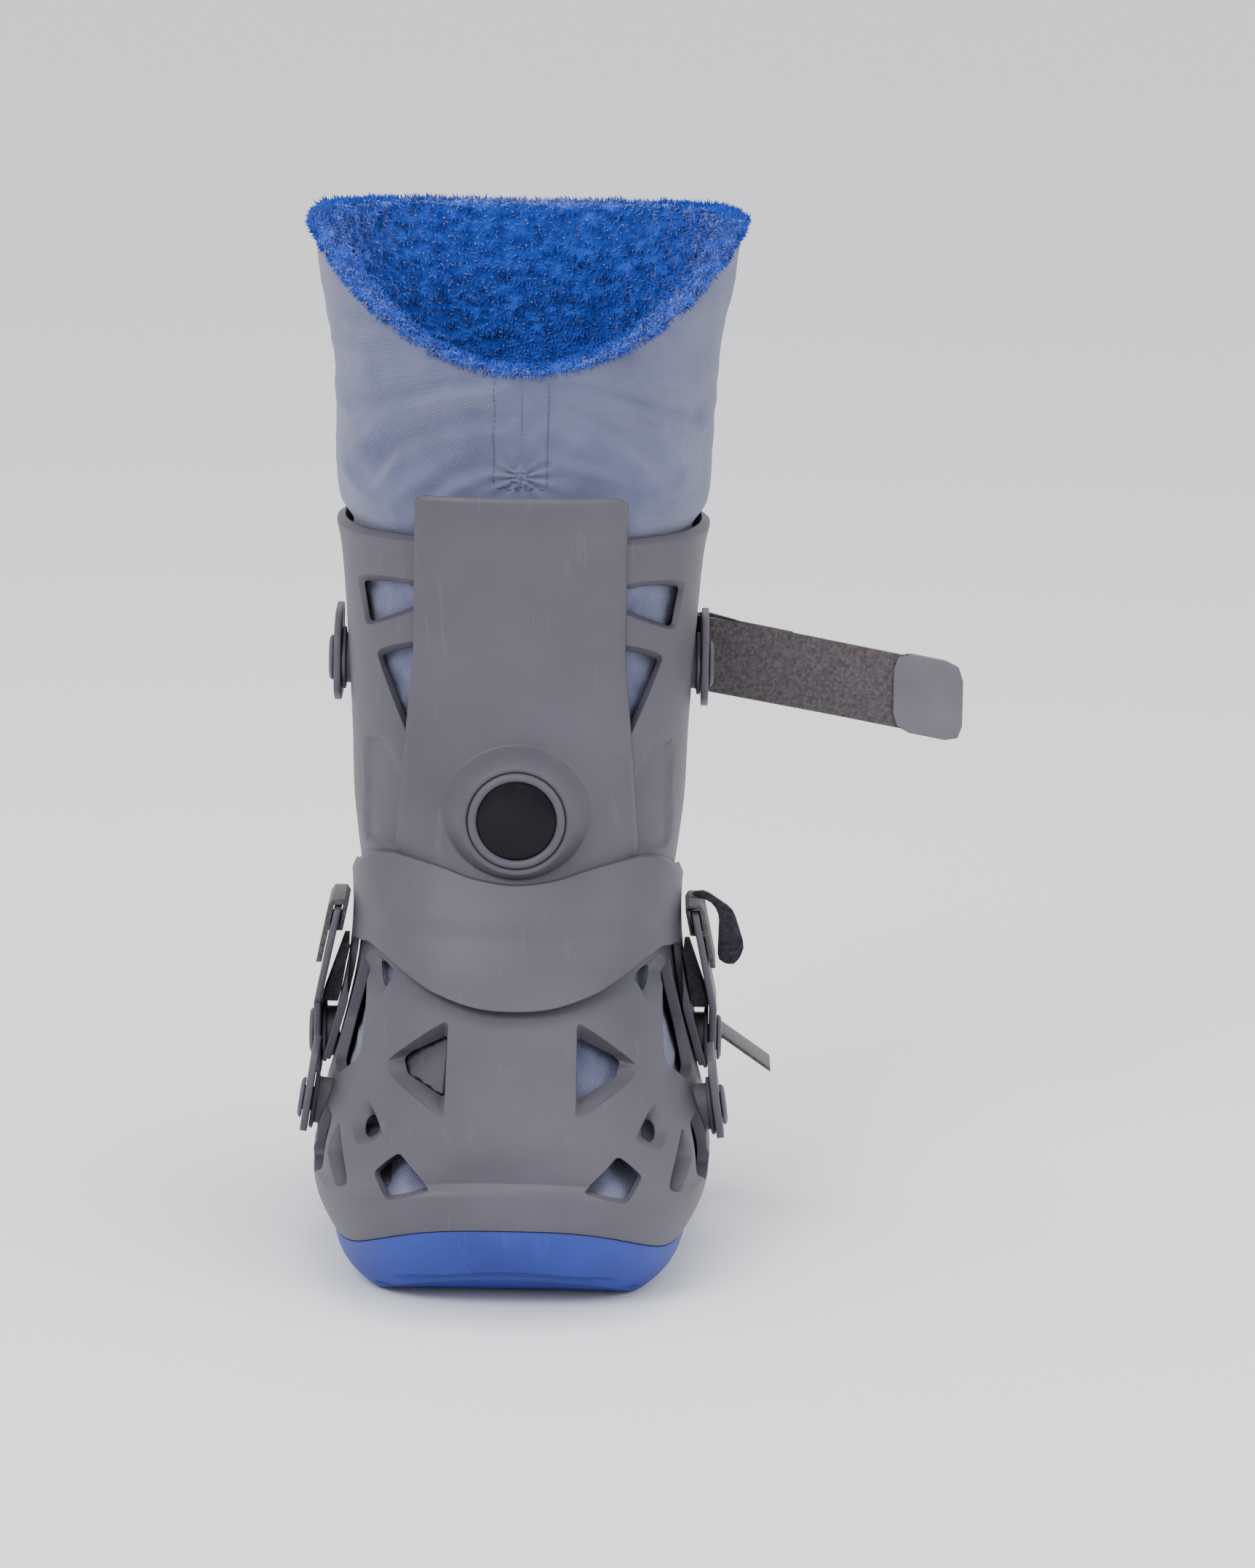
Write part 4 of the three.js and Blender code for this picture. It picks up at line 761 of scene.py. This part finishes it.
def plate_half(height):
    for (wide, low), (narrow, high) in zip(PLATE_EDGE[1:], PLATE_EDGE[2:]):
        if low <= height <= high and high > low:
            return lerp(wide, narrow, (height - low) / (high - low))
    return 41.5


def lip_lean(height):
    return 2.6 * clamp((height - CUFF_TOP) / (PLATE_TOP - CUFF_TOP)) ** 1.5


def plate_point(u, v):
    """u runs across the front face and back along the rear face; v climbs"""
    height = lerp(PLATE_BOTTOM, PLATE_TOP, v)
    across = lerp(-1, 1, u / 0.5) if u < 0.5 else lerp(1, -1, (u - 0.5) / 0.5)
    corner = 4
    near_end = max(0, corner - (PLATE_TOP - height), corner - (height - PLATE_BOTTOM))
    half = plate_half(height) - (corner - math.sqrt(max(0, corner**2 - near_end**2)))
    x = across * half
    section = section_at(BODY, height)
    front = u < 0.5
    out = (PLATE_OUT if front else 0.6) + lip_lean(height)
    if front:
        rim = (abs(across) - 0.93) / 0.07
        out -= 0.9 * ease(rim)
        out += 0.5 * bump(height, PLATE_TOP - 1.5, 2.2)
    middle = (PLATE_OUT + 0.6) / 2 + lip_lean(height)
    out = lerp(middle, out, ease(min(v, 1 - v) / 0.02) ** 0.5)
    wide, ahead = section[0] + out, section[1] + out
    y = -ahead * (1 - min(0.999, abs(x) / wide) ** section[4]) ** (1 / section[4])
    return x, y, height


plate = surface("shin_plate_fine", 120, 90, plate_point)


def turned(name, profile, centre, sides=72):
    """Turned piece about the front axis; the profile holds (radius, distance back from the face)"""

    def place(u, v):
        position = v * (len(profile) - 1)
        radius, back = profile[round(position)]
        angle = 2 * math.pi * u
        return centre[0] + radius * math.sin(angle), centre[1] + back, centre[2] + radius * math.cos(angle)

    return surface(name, sides, len(profile) - 1, place)


badge_centre = (0, -BADGE_FACE, BADGE_HEIGHT)
boss = turned(
    "boss",
    [
        (0, 2), (19.3, 2), (19.3, 0.4), (20.2, 0), (21.3, 0.1), (22.2, 0.9),
        (25.4, 6), (28.6, 11.4), (30.5, 13.6), (30.5, 17), (0, 17),
    ],
    badge_centre,
)
smooth(plate)
smooth(boss, 25)
alone(plate)
boss.select_set(True)
bpy.ops.object.join()
paint(plate, SHELL)
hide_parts("shin_plate")
bezel = turned(
    "badge_bezel_fine",
    [
        (15.6, 0.9), (15.7, -0.5), (16.2, -1.1), (17, -1.4), (18, -1.3),
        (18.7, -0.8), (19, 0), (19, 1.7), (15.6, 1.7), (15.6, 0.9),
    ],
    badge_centre,
)
smooth(bezel, 40)
paint(bezel, SHELL)
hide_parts("badge_bezel")
disc = turned(
    "badge_disc_fine",
    [(0, -0.9), (6, -0.85), (11, -0.65), (14.2, -0.3), (15.4, 0.1), (15.4, 1.6), (0, 1.6)],
    badge_centre,
)
smooth(disc, 40)
paint(disc, GLOSS)
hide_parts("badge_disc")


# Outsole with an arched toe and recessed grooves
def outsole_point(u, v):
    angle = 2 * math.pi * u
    if v < 0.4:
        return sole_point(angle, 0, v / 0.4)
    if v < 0.7:
        return sole_point(angle, (v - 0.4) / 0.3)
    return sole_point(angle, 1, 1 - (v - 0.7) / 0.3)


outsole = surface("outsole_fine", 200, 60, outsole_point)
for groove in range(3):
    radius = TOE_REACH - TREAD_FRONT * 0.55 - SOLE_FLARE / 2 - 8 * (groove + 1)
    arc = [math.radians(-125 + 70 * step / 24) for step in range(25)]
    band = [((radius + 1.4) * math.cos(a), (radius + 1.4) * math.sin(a)) for a in arc]
    band += [((radius - 1.4) * math.cos(a), (radius - 1.4) * math.sin(a)) for a in reversed(arc)]
    centre = -TREAD_FRONT * 0.55
    low = [(x, y + centre, -3) for x, y in band]
    top = [(x, y + centre, tread_height(y + centre) + 2.2) for x, y in band]
    cut(outsole, plug("cutter", [low, top]))
smooth(outsole)
paint(outsole, SOLE)
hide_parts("outsole")

# Liner cover: one cloth surface from the sole to the rim, with a pressed centre seam and soft folds
# Creases pressed into the collar's front, as (x, height over the cuff) along each; depth and half width last
CREASES = [
    ([(-61, 22), (-51, 35), (-36, 43.5), (-20, 48), (-8, 49)], 3.0, 4.2),
    ([(-67, 50), (-46, 54.5), (-30, 60), (-13, 62)], 1.9, 3.6),
    ([(-73, 75), (-60, 74), (-47, 76)], 1.1, 3.4),
    ([(9, 63), (30, 59), (50, 51.5), (65, 46)], 2.2, 4.0),
    ([(13, 55), (25, 50), (41, 41), (57, 24)], 1.6, 3.6),
    ([(10, 36), (24, 31), (40, 27)], 1.0, 3.0),
    ([(-12, 31), (-28, 24), (-44, 10)], 1.5, 3.4),
]
BACK_FOLDS = [
    (115, 0.35, 14, 0.2, 1.6), (150, 0.6, 12, 0.24, 1.4),
    (-165, 0.3, 16, 0.2, 1.6), (-125, 0.55, 14, 0.22, 1.5),
]
GATHER = (-0.5, 24.0)
SEAM_X = (-11.1, -0.5, 9.8)


def crease(x, z, points, depth, half):
    """Soft groove along a bent line, steeper below it than above"""
    best, lean = 1e9, 0.0
    for start, end in zip(points, points[1:]):
        edge = Vector((end[0] - start[0], end[1] - start[1]))
        away = Vector((x - start[0], z - start[1]))
        t = clamp(away.dot(edge) / edge.length_squared)
        gap = away - edge * t
        if gap.length < best:
            best, lean = gap.length, gap.y
    ends = min(Vector((x - points[0][0], z - points[0][1])).length, Vector((x - points[-1][0], z - points[-1][1])).length)
    fade = ease((ends + 4) / 14)
    groove = bump(best, 0, half)
    ridge = 0.75 * bump(best, half * 1.7, half * (1.2 if lean > 0 else 0.8))
    return depth * (groove - ridge) * fade


def collar_relief(angle, rise, x):
    """Depth pressed into the collar's cloth: creases, the centre seam and puckers at its gathered foot"""
    turn = math.degrees(math.atan2(math.sin(angle), math.cos(angle)))
    z = rise * (rim_height(angle) - 4 - CUFF_TOP)
    depth = 0.0
    if math.cos(angle) > 0:
        front = ease(math.cos(angle) / 0.25)
        for points, deep, half in CREASES:
            depth += crease(x, z, points, deep, half) * front
        depth += 0.9 * bump(x, SEAM_X[1], 0.9) * ease((z - 22) / 5)
        depth += (bump(x, SEAM_X[0], 0.8) + bump(x, SEAM_X[2], 0.8)) * 0.35 * ease((z - 22) / 5)
        away = Vector((x - GATHER[0], (z - GATHER[1]) * 1.2))
        spoke = math.cos(math.atan2(away.y, away.x) * 11 + 0.6)
        depth += (1.3 * spoke * clamp(away.length / 4) + 1.2) * bump(away.length, 0, 11)
    for place, up, wide, tall, deep in BACK_FOLDS:
        depth += deep * bump(turn, place, wide) * bump(rise, up, tall)
    wrinkle = 1.1 * noise.noise(Vector((x * 0.035, z * 0.05, 1.7))) + 0.35 * noise.noise(Vector((x * 0.11, z * 0.13, 5.2)))
    return depth * ease(rise / 0.1) * ease((1.02 - rise) / 0.1) + wrinkle * ease(rise / 0.12) * ease((1.05 - rise) / 0.12)


def collar_point(angle, rise, inset=0.0, lift=0.0, relief=True):
    section = section_at(COLLAR, rise)
    x, y = section_point(section, angle, inset)
    if relief:
        x, y = section_point(section, angle, inset + collar_relief(angle, rise, x))
    top = rim_height(angle) - 4
    return x, y, CUFF_TOP + rise * (top - CUFF_TOP) + lift


COVER_INSET = FOOT_WALL + 1.4
COLLAR_INSET = 1.3


def cover_point(u, v):
    angle = 2 * math.pi * u
    if v < 0.06:
        return body_point(angle, 24, COVER_INSET + 3, None, v / 0.06)
    if v < 0.56:
        height = lerp(24, CUFF_TOP, (v - 0.06) / 0.5)
        x, _, z = body_point(angle, height)
        crumple = 1.3 * noise.noise(Vector((x * 0.12, z * 0.15, 3.1))) + 0.5 * noise.noise(Vector((x * 0.3, z * 0.34, 8.4)))
        puff = 3.2 * bump(Vector((abs(x) - 42, z - 49)).length, 0, 9) if math.cos(angle) > 0 and height < 70 else 0
        return body_point(angle, height, COVER_INSET + toe_depth(angle, height) + 0.3 + max(-0.2, crumple + 0.7) - puff)
    if v < 0.96:
        rise = (v - 0.56) / 0.4
        inset = lerp(COVER_INSET - FOOT_WALL, COLLAR_INSET, ease(rise / 0.1))
        return collar_point(angle, rise, inset)
    fold = (v - 0.96) / 0.04
    return collar_point(angle, 1, COLLAR_INSET + 2.4 * ease(fold), 0.8 * math.sin(math.pi * fold) - 2 * ease(fold))


cover = surface("liner_cover_soft", 300, 300, cover_point)


def scale_uv(piece, wide, tall):
    for loop in piece.data.uv_layers.active.data:
        loop.uv = (loop.uv[0] * wide, loop.uv[1] * tall)


scale_uv(cover, 0.5, 0.42)
smooth(cover, 60)
paint(cover, CLOTH)
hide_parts("liner_cover")


# Fleece: a thick pile rolled over the rim and lining the leg and the foot
def fleece_point(u, v):
    angle = 2 * math.pi * u
    inner = COLLAR_INSET + 2.4 + 7
    back = 5.5 * max(0, -math.cos(angle)) ** 1.2
    if v < 0.22:
        turn = v / 0.22
        out = (
            COLLAR_INSET
            + 3.4
            - 4.3 * math.sin(turn * math.pi) ** 0.7
            + (inner - COLLAR_INSET - 3.4) * ease((turn - 0.35) / 0.65)
        )
        lift = -2.2 + (6.4 + back) * math.sin(turn * math.pi * 0.5) - 2.0 * ease((turn - 0.6) / 0.4)
        x, y, z = collar_point(angle, 1, out, lift, False)
        amount = 1.5
    elif v < 0.62:
        rise = 1 - (v - 0.22) / 0.4
        x, y, z = collar_point(angle, rise, inner, (2.2 + back) * ease((rise - 0.8) / 0.2), False)
        amount = 1.5
    elif v < 0.94:
        height = lerp(CUFF_TOP, 38, (v - 0.62) / 0.32)
        x, y, z = body_point(angle, height, FOOT_WALL + inner)
        amount = 1.0
    else:
        x, y, z = body_point(angle, 36, FOOT_WALL + inner + 2, None, 1 - (v - 0.94) / 0.06)
        amount = 0.4
    place = Vector((x, y, z))
    amount *= 1 - 0.9 * bump(x, 0, 13) * bump(z, 328, 12)
    tuft = (
        1.2 * noise.noise(place * 0.2)
        + noise.noise(place * 0.5)
        + 0.5 * noise.noise(place * 1.1 + Vector((9, 4, 2)))
    )
    outward = Vector((math.sin(angle), -math.cos(angle), 0.6 if v < 0.3 else 0.0)).normalized()
    sign = 1 if v < 0.2 else -1
    return place + outward * tuft * amount * sign


fleece = surface("liner_fleece_pile", 420, 210, fleece_point)
smooth(fleece, 80)
paint(fleece, FLEECE)
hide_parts("liner_fleece")

# Leaning tufts of the pile: one tapered tuft, repeated and set on the lining that shows in the collar
PILE_AROUND = 250
PILE_ROWS = 84
TUFT_LENGTH = 3.4
bpy.ops.object.select_all(action="DESELECT")
bpy.ops.mesh.primitive_cone_add(vertices=3, radius1=1, radius2=0, depth=1, end_fill_type="NOTHING")
pile = bpy.context.object
pile.name = "liner_pile_tufts"
apply(
    pile,
    "ARRAY",
    count=PILE_AROUND * PILE_ROWS,
    relative_offset_displace=(0, 0, 0),
    use_relative_offset=False,
)
corners = len(pile.data.vertices) // (PILE_AROUND * PILE_ROWS)
template = [tuple(pile.data.vertices[index].co) for index in range(corners)]
tuft_index = 0
for row in range(PILE_ROWS):
    for column in range(PILE_AROUND):
        seed = Vector((column * 0.731, row * 0.577, 3.1))
        shift = noise.noise_vector(seed * 2.3)
        u = ((column + 0.5 * (row % 2) + 1.1 * shift.x) / PILE_AROUND) % 1
        v = clamp(0.01 + 0.56 * (row + shift.y) / PILE_ROWS)
        base = fleece_point(u, v)
        along = (fleece_point(u, v + 0.004) - base).normalized()
        around = (fleece_point(u + 0.002, v) - base).normalized()
        out = around.cross(along).normalized()
        if out.dot(Vector((base.x, base.y, 0))) > 0 and v > 0.26:
            out = -out
        lean = noise.noise_vector(base * 0.16) + 0.8 * shift
        tip = (out + 0.75 * lean).normalized() * TUFT_LENGTH * (0.75 + 0.5 * abs(shift.z))
        thin = 0.55
        for corner, (x, y, z) in enumerate(template):
            spot = base - out * 0.5 + tip * (z + 0.5) + around * x * thin + along * y * thin
            pile.data.vertices[tuft_index * corners + corner].co = spot * MM
        tuft_index += 1
smooth(pile, 80)
paint(pile, FLEECE)

# Stitches beside the collar's front seam and the gathered tack at its foot
bpy.ops.object.select_all(action="DESELECT")
bpy.ops.mesh.primitive_uv_sphere_add(segments=8, ring_count=6, radius=1)
stitch = bpy.context.object
stitches = []


def add_stitch(angle, rise, length, tilt=0.0):
    a = Vector(collar_point(angle, rise, COLLAR_INSET - 0.15))
    b = Vector(collar_point(angle + tilt, rise + (0.002 if tilt else 0.01), COLLAR_INSET - 0.15))
    direction = (b - a).normalized()
    copy = stitch.copy()
    copy.data = stitch.data.copy()
    bpy.context.collection.objects.link(copy)
    turn = direction.to_track_quat("Z", "Y").to_matrix().to_4x4()
    copy.data.transform(Matrix.Translation(a * MM) @ turn @ Matrix.Diagonal((0.32 * MM, 0.32 * MM, length * MM, 1)))
    stitches.append(copy)


def angle_at(x, rise):
    """Angle from the front at which the collar reaches an x"""
    low, high = -1.2, 1.2
    for _ in range(24):
        middle = (low + high) / 2
        if section_point(section_at(COLLAR, rise), middle, COLLAR_INSET)[0] < x:
            low = middle
        else:
            high = middle
    return low


for x in SEAM_X:
    for step in range(19):
        rise = 0.34 + 0.6 * step / 18
        add_stitch(angle_at(x, rise), rise, 1.15)
for row in range(9):
    rise = 0.315 + 0.012 * math.sin(row * 2.1)
    add_stitch(angle_at(-8.5 + 2 * row, rise), rise, 1.3, 0.03)
bpy.data.objects.remove(stitch)
alone(stitches[0])
for piece in stitches:
    piece.select_set(True)
bpy.ops.object.join()
seam_thread = bpy.context.object
seam_thread.name = "seam_stitches"
smooth(seam_thread, 60)
paint(seam_thread, THREAD)


# Studs with round caps, straps and small pieces take the CAD solids' shapes, welded and given fine edges
def carried(name, finish, body="boot", round_edge=0.0006):
    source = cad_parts[name]
    piece = source.copy()
    piece.data = source.data.copy()
    bpy.context.collection.objects.link(piece)
    piece.parent = None
    piece.data.transform(source.matrix_world)
    piece.matrix_world = Matrix.Identity(4)
    piece.name = name + "_fine"
    edit(piece, weld)
    apply(
        piece,
        "BEVEL",
        width=round_edge,
        segments=2,
        limit_method="ANGLE",
        angle_limit=math.radians(40),
        use_clamp_overlap=True,
    )
    smooth(piece, 35)
    paint(piece, finish, body)
    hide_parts(name)
    return piece


STATIONS = {
    "calf": (0, 217.5, 0, 3, 12.5, 9),
    "ankle": (-20, 69.6, 0, 3.4, 12.5, 9),
    "foot": (-70, 53, 8, 4.6, 11.5, 8),
}
for station, (y, height, lean, boss_length, disc_radius, cap_radius) in STATIONS.items():
    for side, hand in ((-1, "left"), (1, "right")):
        name = f"{station}_stud_{hand}"
        low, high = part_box(name)
        outer = (high[0] if side > 0 else -low[0]) / MM
        tip = math.radians(lean)
        out = Vector((side * math.cos(tip), 0, math.sin(tip)))
        up = Vector((-side * math.sin(tip), 0, math.cos(tip)))
        ahead = Vector((0, -1, 0))
        top = boss_length + 0.35 + 2.8 + 0.35 + 1.8
        neck = disc_radius * 0.42
        profile = [
            (disc_radius * 0.8, -3),
            (disc_radius * 0.8, boss_length - 1.8),
            (disc_radius * 0.98, boss_length - 1.5),
            (disc_radius, boss_length - 0.9),
            (disc_radius - 0.5, boss_length),
            (neck, boss_length),
            (neck, top - 1.8),
            (cap_radius - 0.3, top - 1.8),
            (cap_radius, top - 1.4),
            (cap_radius - 0.2, top - 0.8),
            (cap_radius - 1, top - 0.2),
            (cap_radius - 2, top),
            (cap_radius * 0.55, top),
            (cap_radius * 0.5, top - 0.5),
            (0, top - 0.6),
        ]
        seat = outer - top * math.cos(tip) - cap_radius * math.sin(tip) * 0.9
        root = Vector((side * seat, y, height))

        def stud_place(u, v, profile=profile, root=root, out=out, up=up, ahead=ahead):
            radius, along = profile[round(v * (len(profile) - 1))]
            angle = 2 * math.pi * u
            return root + out * along + up * radius * math.cos(angle) + ahead * radius * math.sin(angle)

        stud = surface(name + "_fine", 48, len(profile) - 1, stud_place)
        edit(stud, close_ends)
        smooth(stud, 28)
        paint(stud, SHELL)
        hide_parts(name)

for hand in ("left", "right"):
    carried(f"calf_anchor_{hand}", SHELL, f"calf_swivel_{hand}")
    carried(f"foot_anchor_{hand}", SHELL, f"foot_swivel_{hand}")
    carried(f"ankle_anchor_{hand}", SHELL)
    carried(f"ankle_hook_pad_{hand}", HOOK, round_edge=0.0008)
    carried(f"ankle_strap_loop_{hand}", STRAP, round_edge=0.0007)
carried("ankle_strap_tab", HOOK, round_edge=0.0005)
carried("ankle_strap_end", STRAP, round_edge=0.0005)
carried("calf_strap", STRAP, "calf_swivel_right", 0.0008)
carried("calf_strap_tab", TAB, "calf_swivel_right", 0.0008)
carried("valve_cap", BLACK, round_edge=0.0009)

# Floor, light and camera
bpy.ops.object.select_all(action="DESELECT")
bpy.ops.mesh.primitive_plane_add(size=9, location=(0, 1.5, -0.0004))
floor = bpy.context.object
floor.name = "floor"
pale = bpy.data.materials.new("pale floor")
pale.use_nodes = True
pale.node_tree.nodes["Principled BSDF"].inputs["Base Color"].default_value = (0.93, 0.93, 0.94, 1)
pale.node_tree.nodes["Principled BSDF"].inputs["Roughness"].default_value = 0.7
floor.data.materials.append(pale)

world = bpy.data.worlds.new("studio")
bpy.context.scene.world = world
world.use_nodes = True
world.node_tree.nodes["Background"].inputs[0].default_value = (0.93, 0.94, 0.97, 1)
world.node_tree.nodes["Background"].inputs[1].default_value = 1.25


def lamp(name, place, target, size, power, colour=(1, 1, 1)):
    light = bpy.data.lights.new(name, "AREA")
    light.shape = "RECTANGLE"
    light.size, light.size_y = size
    light.energy = power
    light.color = colour
    piece = bpy.data.objects.new(name, light)
    bpy.context.collection.objects.link(piece)
    piece.location = place
    piece.rotation_euler = (Vector(target) - Vector(place)).to_track_quat("-Z", "Y").to_euler()
    return piece


lamp("key light", (-0.9, -1.5, 1.5), (0, 0, 0.2), (1.0, 0.8), 26)
lamp("fill light", (1.4, -1.2, 0.9), (0, 0, 0.2), (0.9, 0.9), 9)
lamp("top light", (0.1, 0.2, 1.8), (0, 0, 0.2), (1.0, 1.0), 12)

camera_data = bpy.data.cameras.new("photo camera")
camera_data.sensor_fit = "AUTO"
camera_data.sensor_width = 36
camera_data.lens = 175.8
camera = bpy.data.objects.new("photo camera", camera_data)
bpy.context.collection.objects.link(camera)
pitch, roll = math.radians(90 - 11.31), math.radians(1.0)
camera.matrix_world = (
    Matrix.Translation((0.043, -3.0, 0.768)) @ Matrix.Rotation(pitch, 4, "X") @ Matrix.Rotation(roll, 4, "Z")
)
bpy.context.scene.camera = camera
